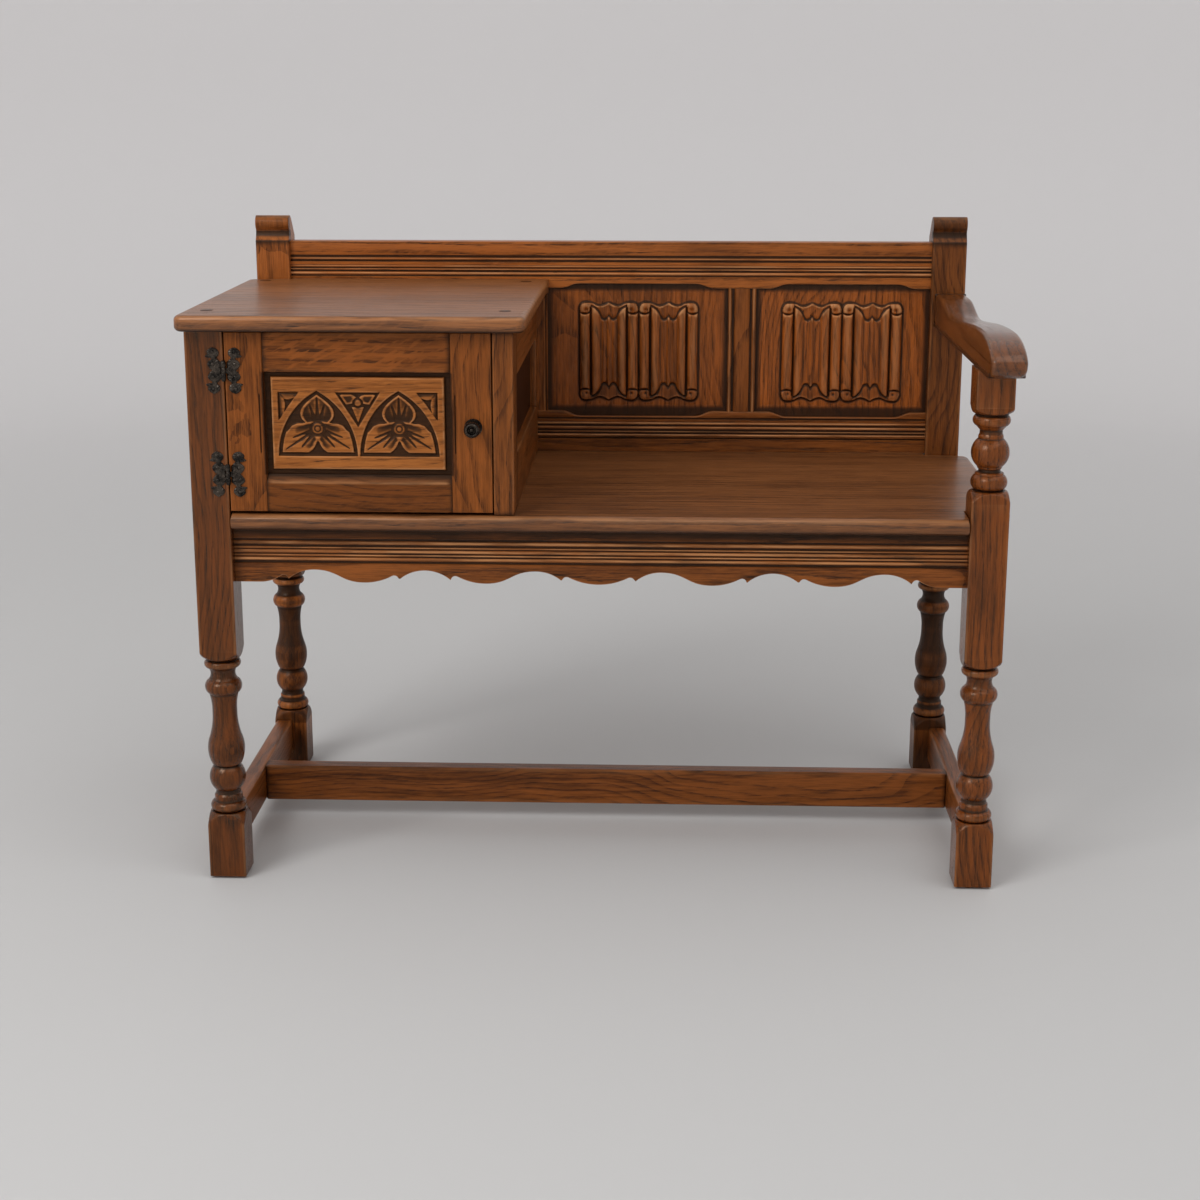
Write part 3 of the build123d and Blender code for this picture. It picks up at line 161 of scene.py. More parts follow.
def carried(name, rings, masks, sharp=38):
    """A closed form: rings of points, one behind the other, with a flat face at each end."""
    rows, columns = rings.shape[:2]
    return make_mesh(name, rings, grid_quads(rows, columns, True), end_faces(rows, columns),
                     masks, sharp)


def finished(piece, node):
    """The piece stands for its node and rides on the body that the node rides on."""
    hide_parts(node)
    on_door = node.startswith(("door_", "knob_")) or node.endswith("door_leaf")
    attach(piece, "door" if on_door else "bench")
    print(piece.name, len(piece.data.polygons), "faces")


print("mesh helpers ready")

# %% [markdown]
# ## Hollows and edges
# Antiqued oak is stained, glazed dark, and wiped: the glaze stays wherever the surface
# lies below its surroundings. So the mask compares a shape with a blurred copy of itself.
# %% Masks from shape
def blurred(values, reach):
    """A bell-shaped running mean along each axis in turn, with the ends held."""
    weights = np.exp(-0.5 * (np.arange(-3 * reach, 3 * reach + 1) / reach) ** 2)
    for axis, size in enumerate(values.shape):
        padding = [(0, 0)] * values.ndim
        padding[axis] = (3 * reach, 3 * reach)
        held = np.pad(values, padding, mode="edge")
        layers = [np.take(held, np.arange(k, k + size), axis) * w for k, w in enumerate(weights)]
        values = sum(layers) / weights.sum()
    return values


def hollow_and_edge(height, reach, span):
    """Glaze where the height is below its blurred copy, wear where it is above, over a span."""
    soft = blurred(height, reach)
    return (soft - height) / span, (height - soft) / span


def smooth_step(low, high, values):
    """0 below low, 1 above high, and a level-to-level cubic between."""
    t = np.clip((values - low) / (high - low), 0, 1)
    return t * t * (3 - 2 * t)


def bump(distance, half):
    """A half-round section: 1 in the middle, 0 at the half width."""
    return np.sqrt(np.clip(1 - (distance / half) ** 2, 0, 1))


def reverse_curve(t):
    """The ogee of a shaped rail: a level-to-level curve from 0 to 1, a little slow at first."""
    s = np.linspace(0, 1, 60)
    return np.interp(t, 1.5 * s * (1 - s) + s ** 3, 3 * s * s * (1 - s) + s ** 3)


print("ogee at a quarter:", round(float(reverse_curve(0.25)), 3))

# %% [markdown]
# ## Turned legs and posts
# Each leg starts as 45 mm square stock. The turner leaves the square blocks for the
# joints and cuts beads, a vase and collars between them. A lathe in Blender would be the
# Screw modifier, but it can't leave squares. Here each ring of points is the smaller of
# two radii: the square's outline and the turning's profile, which gives the rounded
# shoulders where they meet.
# %% Profile of a turning
SQUARE = 45.0
# A block is given a radius just past the square's corners, so it stays square.
CORNER = SQUARE / np.sqrt(2) + 0.7
PROFILE_STEP = 0.8
# From the bottom up: height, radius at the end, radius at the middle of an arc.
LOWER = [(18.5, 22.0, 28.6), (0.0, 17.5, None), (13.0, 17.5, 22.0), (2.0, 17.0, None),
         (5.0, 17.0, None), (2.6, 15.0, None), (4.4, 15.0, None), (31.6, 15.6, 22.0),
         (2.0, 18.0, None), (33.0, 20.2, 22.3), (29.0, 15.0, 16.4), (7.0, 15.0, None),
         (18.0, 17.0, 15.4), (3.0, 17.5, None), (18.0, 17.5, 22.4), (15.0, 17.5, 14.9),
         (10.0, 18.0, 22.1), (2.0, 20.5, None), (13.0, CORNER, 28.4)]
UPPER = [(12.5, 22.0, 28.2), (2.0, 17.0, None), (18.0, 16.8, 21.5), (2.0, 16.8, None),
         (1.5, 12.8, None), (2.5, 12.8, None), (2.0, 14.5, None), (1.5, 14.7, None),
         (33.0, 14.7, 22.4), (3.0, 14.7, None), (3.0, 13.3, None), (4.0, 13.3, None),
         (5.0, 17.5, None), (13.0, 18.5, 22.0), (2.0, 20.5, None), (9.0, CORNER, 28.0)]


def arc(start, middle, end, count=24):
    """Points on the circle through three points, given as complex numbers."""
    chord = middle - start
    w = (end - start) / chord
    if abs(w.imag) < 1e-6:
        return start + (end - start) * np.linspace(0, 1, count)
    centre = start + chord * (w - abs(w) ** 2) / (2j * w.imag)
    first, turn = np.angle(start - centre), np.angle((middle - centre) / (start - centre))
    turn += np.angle((end - centre) / (middle - centre))
    return centre + abs(start - centre) * np.exp(1j * (first + turn * np.linspace(0, 1, count)))


def turning(steps, z):
    """Radius + i height along a turning, evenly spaced: each step is a line or an arc."""
    here = complex(CORNER, z)
    run = [np.array([here])]
    for height, radius, middle in steps:
        end = complex(radius, here.imag + height)
        if middle is None:
            run.append(np.array([end]))
        else:
            run.append(arc(here, complex(middle, here.imag + height / 2), end)[1:])
        here = end
    line = np.concatenate(run)
    length = np.concatenate([[0], np.cumsum(np.abs(np.diff(line)))])
    even = np.linspace(0, length[-1], int(length[-1] / PROFILE_STEP))
    return np.interp(even, length, line.real) + 1j * np.interp(even, length, line.imag)


def block(low, high, gap, endpoint=True):
    """A square length as a profile: a point every 9 mm or so, the first after a small gap."""
    count = max(3, int((high - low) / 9))
    return CORNER + 1j * np.linspace(low + gap, high, count, endpoint=endpoint)


def profile_of(turnings, low, high):
    """Square lengths between turnings, joined into one profile from low to high."""
    run = []
    z, gap = low, 0.0
    for steps, start in turnings:
        run += [block(z, start, gap, endpoint=False), turning(steps, start)]
        z, gap = run[-1][-1].imag, 0.5
    run.append(block(z, high, gap))
    return np.concatenate(run)


print("lower turning is", round(sum(step[0] for step in LOWER), 1), "mm high")


# %% Rings of a post
# Rounding of a block's arrises, and of the crease where a turning meets its block.
ARRIS = 1.8
CREASE = 0.9


def ring_angles():
    """Even angles, with more of them round the four arrises."""
    corners = np.radians([45, 135, 225, 315])[:, None]
    close = corners + np.radians([-3.2, -2.2, -1.4, -0.7, 0, 0.7, 1.4, 2.2, 3.2])[None, :]
    even = np.radians(np.arange(0, 360, 5.0))
    even = even[np.min(np.abs(even[:, None] - corners.T), axis=1) > radians(4)]
    return np.sort(np.concatenate([even, close.ravel()]))


def square_radius(angle, half, corner):
    """Distance from the middle to the outline of a square with rounded corners."""
    u, v = np.abs(np.cos(angle)), np.abs(np.sin(angle))
    flat = half / np.maximum(u, v)
    inner = half - corner
    k = inner * (u + v)
    round_end = k + np.sqrt(np.maximum(k * k - 2 * inner ** 2 + corner ** 2, 0))
    return np.where(flat * np.minimum(u, v) > inner, round_end, flat)


def softer(a, b, k):
    """The smaller of two radii, with the crease between them rounded over k."""
    h = np.clip(0.5 + 0.5 * (b - a) / k, 0, 1)
    return b * (1 - h) + a * h - k * h * (1 - h)


def post_rings(x, y, profile):
    """Rings of a post on the corner x, y: the softer minimum of square and turning."""
    angle = ring_angles()
    square = square_radius(angle, SQUARE / 2, ARRIS)
    radius = softer(profile.real[:, None], square[None, :], CREASE)
    rings = np.stack([x + SQUARE / 2 + radius * np.cos(angle),
                      y + SQUARE / 2 + radius * np.sin(angle),
                      np.broadcast_to(profile.imag[:, None], radius.shape)], -1)
    hollow, edge = hollow_and_edge(profile.real, reach=4, span=1.3)
    on_flat = (radius > SQUARE / 2 - 0.4) & (profile.real[:, None] < CORNER - 0.4)
    glaze = 1.4 * hollow[:, None] * np.where(on_flat, 0.5, 1.0)
    arris = smooth_step(CORNER - 4.5, CORNER - 1.6, radius)
    return rings, glaze, np.maximum(0.6 * edge[:, None], 0.4 * arris)


print("points round a post:", len(ring_angles()))


# %% Make the front legs
# Heights: top of the glide, lower ends of the two turnings, undersides of table and arm.
GLIDE = 3.0
LOWER_FROM, UPPER_FROM = 65.5, 480.5
TABLE_LOW, ARM_LOW = 680.0, 638.0


def front_leg(name, x, turnings, top):
    """A front leg from its glide to its top, darker towards the foot."""
    profile = profile_of(turnings, GLIDE, top)
    rings, glaze, wear = post_rings(x, 0.0, profile)
    foot = smooth_step(40, 3, profile.imag)[:, None]
    finished(carried(name, rings, {"glaze": glaze + 0.25 * foot, "wear": wear}), name)


front_leg("front_leg_left", 0.0, [(LOWER, LOWER_FROM)], TABLE_LOW)
front_leg("front_leg_right", 915.0, [(LOWER, LOWER_FROM), (UPPER, UPPER_FROM)], ARM_LOW)

# %% [markdown]
# The rear posts end in a small scroll: a cove on the front face, then a roll. Above the
# square block each ring is a rectangle whose front and rear edges follow two curves, so
# the scroll and the post are one closed surface.
# %% Make the rear posts
POST_FRONT, POST_REAR = 400.0, 445.0
# The roll's centre, in y and z, and its radius.
ROLL = np.array([412.0, 772.5])
ROLL_RADIUS = 10.5


def bezier(points, t):
    """A cubic Bezier curve: four points weighted by the powers of 1 - t and t."""
    a, b, c, d = (np.array(point, float) for point in points)
    t = t[:, None]
    return a * (1 - t) ** 3 + 3 * b * t * (1 - t) ** 2 + 3 * c * t * t * (1 - t) + d * t ** 3


def scroll_edges(z):
    """Front and rear y of the scroll at height z: a cove, a round roll, and a falling back."""
    cove = POST_FRONT + 5.5 * np.sin(np.clip((z - 749) / 13, 0, 1) * np.pi / 2) ** 1.2
    roll = ROLL[0] - ROLL_RADIUS * bump(z - ROLL[1], ROLL_RADIUS)
    front = np.where(z < 762, cove, np.where(z < 766, np.minimum(405.5, roll), roll))
    fall = bezier([(412, 783), (424, 783), (433, 765), (445, 755)], np.linspace(0, 1, 50))[::-1]
    rear = np.where(z < 755, POST_REAR, np.interp(z, fall[:, 1], fall[:, 0]))
    return front, rear


def scroll_rings(x, z):
    """Square rings stretched between the two edges of the scroll at each height."""
    angle = ring_angles()
    unit = square_radius(angle, 1.0, ARRIS / (SQUARE / 2))
    front, rear = scroll_edges(z)
    half = (rear - front) / 2
    shape = (len(z), len(angle))
    across = x + SQUARE / 2 + SQUARE / 2 * unit * np.cos(angle)
    return np.stack([np.broadcast_to(across, shape),
                     (front + half)[:, None] + half[:, None] * (unit * np.sin(angle))[None, :],
                     np.broadcast_to(z[:, None], shape)], -1)


def rear_post(name, x):
    """A turned post below, and a scroll above 749 mm; painted shade on the post below the seat,
    glaze in the cove, and wear with a painted highlight on the roll.
    """
    profile = profile_of([(LOWER, LOWER_FROM)], GLIDE, 748.5)
    rings, glaze, wear = post_rings(x, POST_FRONT, profile)
    z = np.concatenate([np.linspace(749.2, 764, 22),
                        ROLL[1] + 10.45 * np.sin(np.linspace(-0.8, 1.565, 30))])
    z = np.sort(z)
    # Painted shade: the turning is darkened below the seat, where it stands in shadow.
    glaze = glaze + 0.62 * smooth_step(390, 340, profile.imag)[:, None]
    glaze = glaze + 0.7 * smooth_step(744, 748, profile.imag)[:, None]
    facing = (np.sin(ring_angles()) < -0.3)[None, :]
    cove = (np.exp(-((z - 759.5) / 5.0) ** 2) + 0.7 * smooth_step(752, 749.5, z)
            + 0.42 * smooth_step(764, 768, z))[:, None] * facing
    # Wear on top of the roll, partly rubbing and partly a painted highlight.
    rubbed_and_lit = 0.5 * smooth_step(776, 781, z)[:, None] * facing
    masks = {"glaze": np.concatenate([glaze, cove]), "wear": np.concatenate([wear, rubbed_and_lit])}
    finished(carried(name, np.concatenate([rings, scroll_rings(x, z)]), masks), name)


rear_post("rear_post_left", 3.0)
rear_post("rear_post_right", 912.0)

# %% [markdown]
# ## Moulded rails
# The apron, the back rails and the uprights of the back are run with beads and quirks,
# which a maker scratches with a shaped iron. The section is one line of points, carried
# along the board. The shaped edge moves only the points below the mouldings, so the beads
# stay straight above a scalloped edge.
# %% Mouldings
# Depth of a groove, and rounding of a board's arrises.
REED = 1.8
LIP = 1.3
# Each step of a moulding has a shape and a width, counted from the board's first edge.
APRON_BEADS = [("flat", 13.0), ("groove", 3.0), ("bead", 4.3), ("groove", 3.0), ("bead", 2.0),
               ("groove", 1.4), ("bead", 4.0), ("groove", 1.6), ("bead", 2.4), ("groove", 1.4),
               ("bead", 3.9), ("groove", 3.6)]
TOP_BEADS = [("flat", 18.0), ("groove", 4.0), ("bead", 2.3), ("groove", 3.4), ("flat", 4.0),
             ("bead", 2.7), ("groove", 2.0), ("bead", 2.0), ("groove", 2.7), ("bead", 3.4),
             ("groove", 2.7)]
LOW_BEADS = [("flat", 8.7), ("groove", 2.7), ("flat", 3.5), ("bead", 3.5), ("groove", 2.8),
             ("bead", 3.4), ("groove", 2.9), ("bead", 1.7), ("groove", 2.4), ("bead", 3.2),
             ("flat", 1.0), ("groove", 2.8)]
MUNTIN_BEADS = [("bead", 4.7), ("groove", 4.0), ("flat", 20.2), ("groove", 3.5), ("bead", 4.6)]
STILE_BEADS = [("flat", 30.0), ("bead", 3.0), ("groove", 3.0)]


def moulding(steps):
    """Distance across the board, depth, glaze, and wear with painted highlight for each step of a
    moulding.

    A groove is a channel with sloping walls, and a bead rises from it as an arc. A flat
    at the board's first edge needs no points of its own.
    """
    across, depth, glaze, wear = [], [], [], []
    at = 0.0
    for shape, width in steps:
        t = np.linspace(0.06, 0.94, 3 if shape == "flat" else 9)
        if shape == "flat":
            sunk = 0 * t
        elif shape == "groove":
            sunk = REED * np.minimum(1, 4 * np.minimum(t, 1 - t) + 0.3)
        else:
            sunk = REED - min(REED, 0.46 * width) * bump(2 * t - 1, 1.0)
        if at > 0 or shape != "flat":
            dark = {"flat": 0.0, "groove": 1.0, "bead": 0.95}[shape]
            across.append(at + t * width)
            depth.append(sunk)
            glaze.append(dark * np.clip(sunk / REED, 0, 1) ** 2.2)
            # Bead crowns are lightened, partly as rubbed wear and partly as a painted highlight.
            wear.append(1.1 * bump(2 * t - 1, 1.0) ** 2 * (shape == "bead"))
        at += width
    return (np.concatenate(layer) for layer in (across, depth, glaze, wear))


def moulded(name, stations, start, end, faces, steps, axes, rubbed_and_lit=1.0, overhang_shade=0.0):
    """A moulded board: its section at each station, closed round the back.

    start and end are the two edges at each station, and may curve; faces are the front
    and the rear; axes say which coordinate runs along the board, across it and through it.
    Of the two last arguments, the first scales the wear and painted highlight, and the second
    paints shade along the first edge.
    """
    face, rear = faces
    way = np.sign(np.mean(end) - np.mean(start))
    start, end = start + 0 * stations, end + 0 * stations
    across, depth, glaze, wear = moulding(steps)
    turn = np.radians([0, 30, 60, 90])
    head = start[:, None] + way * LIP * (1 - np.cos(turn))
    tail = end[:, None] - way * LIP * (1 - np.cos(turn[::-1]))
    middle = np.broadcast_to(start[0] + way * across, (len(stations), len(across)))
    field_from = middle[:, -1:] + way * 0.5
    field = field_from + (tail[:, :1] - field_from) * np.linspace(0, 0.92, 4)
    round_in = face + LIP * (1 - np.sin(turn))
    wide = np.concatenate([head, middle, field, tail, end[:, None], start[:, None]], 1)
    ones = np.ones((len(stations), 1))
    deep = np.concatenate([round_in, face + depth, np.full(4, face), round_in[::-1],
                           [rear, rear]]) * ones
    dark = np.concatenate([np.zeros(4), glaze, np.zeros(10)]) * ones
    rub = np.concatenate([[0.1, 0.4, 0.4, 0.2], wear, np.zeros(4), [0.3, 0.7, 0.7, 0.2],
                          [0, 0]]) * ones * rubbed_and_lit
    if overhang_shade:
        # Painted shade under the seat's overhang: the first edge is darkened and not rubbed.
        from_edge = np.abs(wide - start[:, None])
        dark = dark + overhang_shade * smooth_step(16, 4, from_edge)
        rub = rub * smooth_step(0, 10, from_edge)
    points = np.zeros(wide.shape + (3,))
    for axis, values in zip(axes, (stations[:, None], wide, deep)):
        points[..., axis] = values
    finished(carried(name, points, {"glaze": dark, "wear": rub}), name)


print("apron mouldings", round(sum(width for shape, width in APRON_BEADS), 1), "mm")


# %% Scalloped edge of the apron
SEAT_LOW, SEAT_TOP = 443.0, 463.0
BENCH_MIDDLE = 480.0
# Which coordinates run along, across and through a level board and an upright one.
ALONG_X, ALONG_Z = (0, 2, 1), (2, 0, 1)
# Heights of a scallop's crown, of the notch beside it and of the cusp between them.
SCALLOP, NOTCH, CUSP = 15.5, 8.5, 3.8


def level_arc(level, other, count=20):
    """An arc that is level at one point and passes through another."""
    du, dz = other[0] - level[0], other[1] - level[1]
    radius = (du * du + dz * dz) / (2 * abs(dz))
    u = np.linspace(0, du, count)
    return level[0] + u + 1j * (level[1] + np.sign(dz) * (radius - np.sqrt(radius ** 2 - u * u)))


def scallops():
    """The right half of the lower edge: distance from the middle + i height.

    Each arch rises to its crown and ends in a cusp and a notch, or else, on its plain
    side, in an ogee. A lobe hangs between two arches.
    """
    run = [level_arc((0, 0), (35.5, NOTCH))]
    for centre, plain, lobe in ((74.5, 1, 0), (207.5, 0, 72.5), (340.5, -1, 65)):
        for side in (-1, 1):
            if plain == side:
                t = np.linspace(0, 1, 40)
                run.append(centre + side * 60.5 * t + 1j * SCALLOP * (1 - reverse_curve(t)))
                continue
            cusp, notch = centre + side * 31, centre + side * 39
            lip = arc(complex(cusp, CUSP), complex(centre + side * 33, 7.7),
                      complex(notch, NOTCH), 9)
            run += [level_arc((centre, SCALLOP), (cusp, CUSP)), lip]
            if lobe:
                run.append(level_arc((centre + side * lobe, 0), (notch, NOTCH)))
    line = np.concatenate(run)
    return line[np.argsort(line.real)]


def front_apron():
    """A moulded board below the seat, its lower edge raised by the scallops."""
    half_edge = scallops()
    x = np.linspace(45, 915, 560)
    low_edge = 376 + np.interp(np.abs(x - BENCH_MIDDLE), half_edge.real, half_edge.imag, right=0)
    moulded("front_apron", x, SEAT_LOW, low_edge, (15, 35), APRON_BEADS, ALONG_X,
            overhang_shade=0.9)


front_apron()

# %% Rails and uprights of the back
BACK = (408, 430)
RAIL_TOP, TOP_RAIL_LOW, LOW_RAIL_TOP = 749.0, 687.0, 519.0
OPENINGS = ((396.0, 641.0), (678.0, 912.0))


def shaped(x, level, change):
    """A rail edge that is level, then rises or falls by an ogee over each opening."""
    edge = np.full(len(x), level)
    for left, right in OPENINGS:
        inward = np.minimum(x - left, right - x)
        edge += change * reverse_curve(np.clip((inward - 16) / 30, 0, 1)) * (inward > 0)
    return edge


x = np.linspace(48.0, 912.0, 420)
z = np.linspace(LOW_RAIL_TOP, TOP_RAIL_LOW, 40)
moulded("back_top_rail", x, RAIL_TOP, shaped(x, TOP_RAIL_LOW, 6.0), BACK, TOP_BEADS, ALONG_X)
moulded("back_bottom_rail", x, shaped(x, LOW_RAIL_TOP, -7.0), SEAT_TOP, BACK, LOW_BEADS, ALONG_X)
moulded("back_muntin", z, 641.0, 678.0, BACK, MUNTIN_BEADS, ALONG_Z, rubbed_and_lit=0.55)
moulded("back_stile", z, 360.0, 396.0, BACK, STILE_BEADS, ALONG_Z, rubbed_and_lit=0.55)

# %% [markdown]
# ## Carved panels as height fields
# Both kinds of carving are cut into a flat board, so a height for every point of the
# board's face describes them fully. A sculptor's tool could raise them, but a formula
# repeats both halves exactly. `relief` closes the carved face with flat sides and back.
# %% Relief
def relief(name, x, z, front, rear, masks):
    """A board whose front is y = front at every x and z, and whose back is flat."""
    rows, columns = len(x), len(z)
    face = np.stack([np.broadcast_to(x[:, None], front.shape), front,
                     np.broadcast_to(z[None, :], front.shape)], -1).reshape(-1, 3)
    i, j = np.arange(rows), np.arange(columns)
    loop = np.concatenate([i * columns, (rows - 1) * columns + j[1:],
                           (i * columns + columns - 1)[::-1][1:], j[::-1][1:-1]])
    back = face[loop].copy()
    back[:, 1] = rear
    second = len(face) + np.arange(len(loop))
    sides = np.stack([loop, np.roll(loop, -1), np.roll(second, -1), second], -1)
    quads = np.concatenate([grid_quads(rows, columns, False), sides])
    padded = {mask: np.concatenate([values.ravel(), np.zeros(len(loop))])
              for mask, values in masks.items()}
    return make_mesh(name, np.concatenate([face, back]), quads, [second], padded, sharp=60)


def face_grid(node, step_x, step_z):
    """Even x and z values over the whole face of a node, about a step apart."""
    low, high = limits(node)
    return (np.linspace(low[0], high[0], int((high[0] - low[0]) / step_x)),
            np.linspace(low[2], high[2], int((high[2] - low[2]) / step_z)))


print("relief ready")

# %% [markdown]
# ### Linenfold
# Linenfold copies a cloth hung in folds. Each unit has a roll at both sides, a second
# fold inside a deep groove, and a plain middle with a slight ridge. At both ends the
# cloth flares out past a bracket-shaped line. All of it is mirrored about the middle
# line and about half the height, so two distances are enough to describe it.
# %% Linenfold heights
# Half the width of a unit, the distance between units, their lower end and their length.
UNIT_HALF, UNIT_APART = 39.5, 81
LINEN_LOW, LINEN_LENGTH = 534, 133
# Distance from a unit's middle line, and height of the line above the unit's end.
OUTLINE = [(0, 0.3), (1.5, 0.9), (4, 2.6), (8, 4.2), (12.5, 5.2), (17, 4.0), (21, 1.6),
           (26, 0.3), (33, 0.2), (36.5, 1.6), (38.5, 4.4), (39.5, 8)]
BRACKET = [(0, 19.5), (1.2, 20.5), (2.2, 22.6), (4, 24), (6.2, 24.4), (8.6, 23.8), (10.4, 22),
           (11.6, 18.6), (13, 15.6), (15, 12.4), (18, 9), (21, 7), (23.4, 6.4)]


def through(points, at):
    """Straight lines through a list of pairs, read at the given places."""
    return np.interp(at, *np.transpose(points))


def linenfold_height(across, along):
    """Height of one unit: across from its middle line, along from its lower end.

    Up to the bracket line the cloth flares, and past it lie a ridged middle and a half-round
    fold. Half-round rolls stand at the sides and end in curls. A narrow groove parts them.
    """
    m = np.abs(across)
    v = np.where(along > LINEN_LENGTH / 2, LINEN_LENGTH - along, along)
    outline, bracket = through(OUTLINE, m), through(BRACKET, m)
    crescent = 12.6 + 3.4 * bump(m - 32.6, 7.4)
    past = smooth_step(-0.5, 0.5, v - bracket)
    past_roll = smooth_step(-0.5, 0.6, v - crescent)
    middle = 3.0 + 0.7 * np.exp(-(m / 1.6) ** 2) + 0.35 * np.cos(m * 0.9)
    cloth = np.where(m < 12.2, middle, 2.6 + 2.2 * bump(m - 18, 6.0))
    rim = np.exp(-((v - outline - 0.9) / 0.9) ** 2)
    flare = 2.2 + 0.9 * rim - 1.1 * smooth_step(8, 0.5, bracket - v)
    body = flare * (1 - past) + cloth * past
    roll = 1.2 + 3.8 * bump(m - 32.6, 7.2)
    curl = 2.6 + 2.0 * bump(np.hypot(m - 32.4, v - 6.6), 8.5)
    curl -= 1.6 * np.exp(-(np.hypot(m - 30.5, v - 9.6) / 2.6) ** 2)
    gap = 1.6 * np.exp(-((v - crescent + 1.0) / 1.2) ** 2)
    side = (curl - gap) * (1 - past_roll) + roll * past_roll
    groove = np.exp(-((m - 24.5) / 1.25) ** 2) * smooth_step(5.0, 7.5, v)
    height = np.where(m < 24.6, body, side) * (1 - 0.95 * groove)
    return height * smooth_step(-0.5, 0.6, v - outline) * (m < 39.6)


def linenfold_panel(name, opening, share):
    """A panel with two units side by side on a plain ground 5 mm behind their crowns.

    The share says how the ground that is left over is split between left and right.
    """
    left, right = opening
    x, z = face_grid(name, step_x=0.78, step_z=0.82)
    first = left + share * (right - left - 160)
    height = np.zeros((len(x), len(z)))
    for start in (first, first + UNIT_APART):
        height = np.maximum(height, linenfold_height(x[:, None] - start - UNIT_HALF,
                                                     z[None, :] - LINEN_LOW))
    height = np.minimum(blurred(height, 1) * 0.5 + height * 0.5, 5.0)
    raised = height > 0.4
    glaze, wear = hollow_and_edge(height, reach=3, span=0.9)
    glaze = np.clip(glaze, 0, 1) + 0.6 * blurred(raised * 1.0, 4) * ~raised
    edge = np.minimum(np.minimum(x[:, None] - left, right - x[:, None]),
                      np.minimum(z[None, :] - LOW_RAIL_TOP, 690 - z[None, :]))
    glaze = np.maximum(glaze, 0.85 * smooth_step(13, 1, edge))
    glaze = glaze + 0.25 * smooth_step(2.6, 1.2, height) * raised
    # Painted shade on the lower ends of the folds.
    glaze = glaze + 0.3 * smooth_step(562, 545, z)[None, :] * raised
    # Painted highlight on the upper ends: their edges are lightened more than below, and the
    # crowns are lightened by rubbing and painted highlight together.
    lit = smooth_step(640, 658, z)[None, :]
    wear = np.maximum((0.5 + 0.9 * lit) * wear, 0.55 * smooth_step(3.2, 5.0, height))
    masks = {"glaze": glaze, "wear": 0.8 * wear * (glaze < 0.5)}
    finished(relief(name, x, z, 414 - height, 424.0, masks), name)


linenfold_panel("linenfold_panel_left", OPENINGS[0], 0.518)
linenfold_panel("linenfold_panel_right", OPENINGS[1], 0.5)

# %% [markdown]
# ### Tracery on the door
# The door panel has a raised field with two pointed arches. In each, three broad petals
# meet at a button, with veins cut from the button outwards. Small triangles fill the
# corners. Distances to circles and lines give each outline, and a smooth step turns a
# distance into a carved edge.
# %% Tracery heights
HALF_ARCH = 47.0
ARCH_RADIUS = 88.7
# Height of the button above the arch's foot, and depth of the ground.
BUTTON = 33
GROUND = 3.1
# Height above the arch's foot, and half the width there.
SPADE = [(39, 12), (41, 15.5), (44, 18.4), (48, 20.2), (52, 20.4), (56, 19.2), (60, 16.6),
         (64, 12.8), (68, 8), (71.5, 3.0), (73.5, 0)]
BETWEEN_WINGS = [(0, 26), (1.5, 19), (3, 14), (5, 10), (8, 6), (11, 3.6), (14, 2), (17, 0.8),
                 (19, -1)]
# Distance from the arch's middle, and the upper edge of the lower petals.
WING_TOP = [(0, 44), (10, 42), (17, 40), (24, 39.4), (30, 37), (36, 30)]
# Direction of each vein in degrees, and how far it runs from the button.
VEINS = [(90, 39), (73, 31), (107, 31), (-160, 33), (-147, 47), (-131, 31), (-19, 33),
         (-32, 46), (-48, 31)]


def arch_inside(u, w):
    """Distance inside a pointed arch: each side is an arc struck from beyond the middle."""
    centre = ARCH_RADIUS - HALF_ARCH
    return np.minimum(ARCH_RADIUS - np.hypot(np.abs(u) + centre, w), w)


def vein(u, w, degrees, far):
    """A cut from the button: 1 on a ray at the given angle, fading to its far end."""
    angle = radians(degrees)
    along = u * np.cos(angle) + (w - BUTTON) * np.sin(angle)
    away = np.abs(-u * np.sin(angle) + (w - BUTTON) * np.cos(angle))
    width = 1.7 * np.clip((far - along) / far, 0, 1) + 0.45
    return np.exp(-(away / width) ** 2) * smooth_step(8, 12, along) \
        * smooth_step(far, far - 5, along)


def arch_height(u, w):
    """Depth below the field inside one arch: ground, petals with rims, veins, button.

    A petal is where one of its distances is above zero; it dishes towards the button,
    which is a half-round knop in a sunk ring.
    """
    m = np.abs(u)
    inside = arch_inside(u, w)
    top = np.minimum((through(SPADE, w) - m) * 0.8, w - 38)
    wings = np.minimum(np.minimum(inside - 4.2, (m - through(BETWEEN_WINGS, w)) * 0.8),
                       through(WING_TOP, m) - w)
    petal = np.maximum(top, wings)
    away = np.hypot(u, w - BUTTON)
    dish = 1.6 * smooth_step(34, 6, away)
    leaf = -0.5 - dish * smooth_step(0.6, 5.0, petal) \
        - 0.75 * smooth_step(1.8, 4.0, top) * (w > 40)
    for degrees, far in VEINS:
        leaf = leaf - 1.7 * vein(u, w, degrees, far)
    mask = smooth_step(-0.2, 1.1, petal)
    ground = -GROUND * smooth_step(0.0, 1.3, inside)
    shape = ground * (1 - mask) + np.maximum(leaf, -GROUND) * mask
    ring = smooth_step(10.5, 7.8, away)
    shape = shape * (1 - ring) - 2.7 * ring
    knop = 2.3 * bump(away, 7.4) - 0.7 * np.exp(-((away - 3.4) / 0.9) ** 2)
    shape = np.where(away < 7.3, np.maximum(shape, knop - GROUND), shape)
    return np.where(inside > 0, shape, 0)


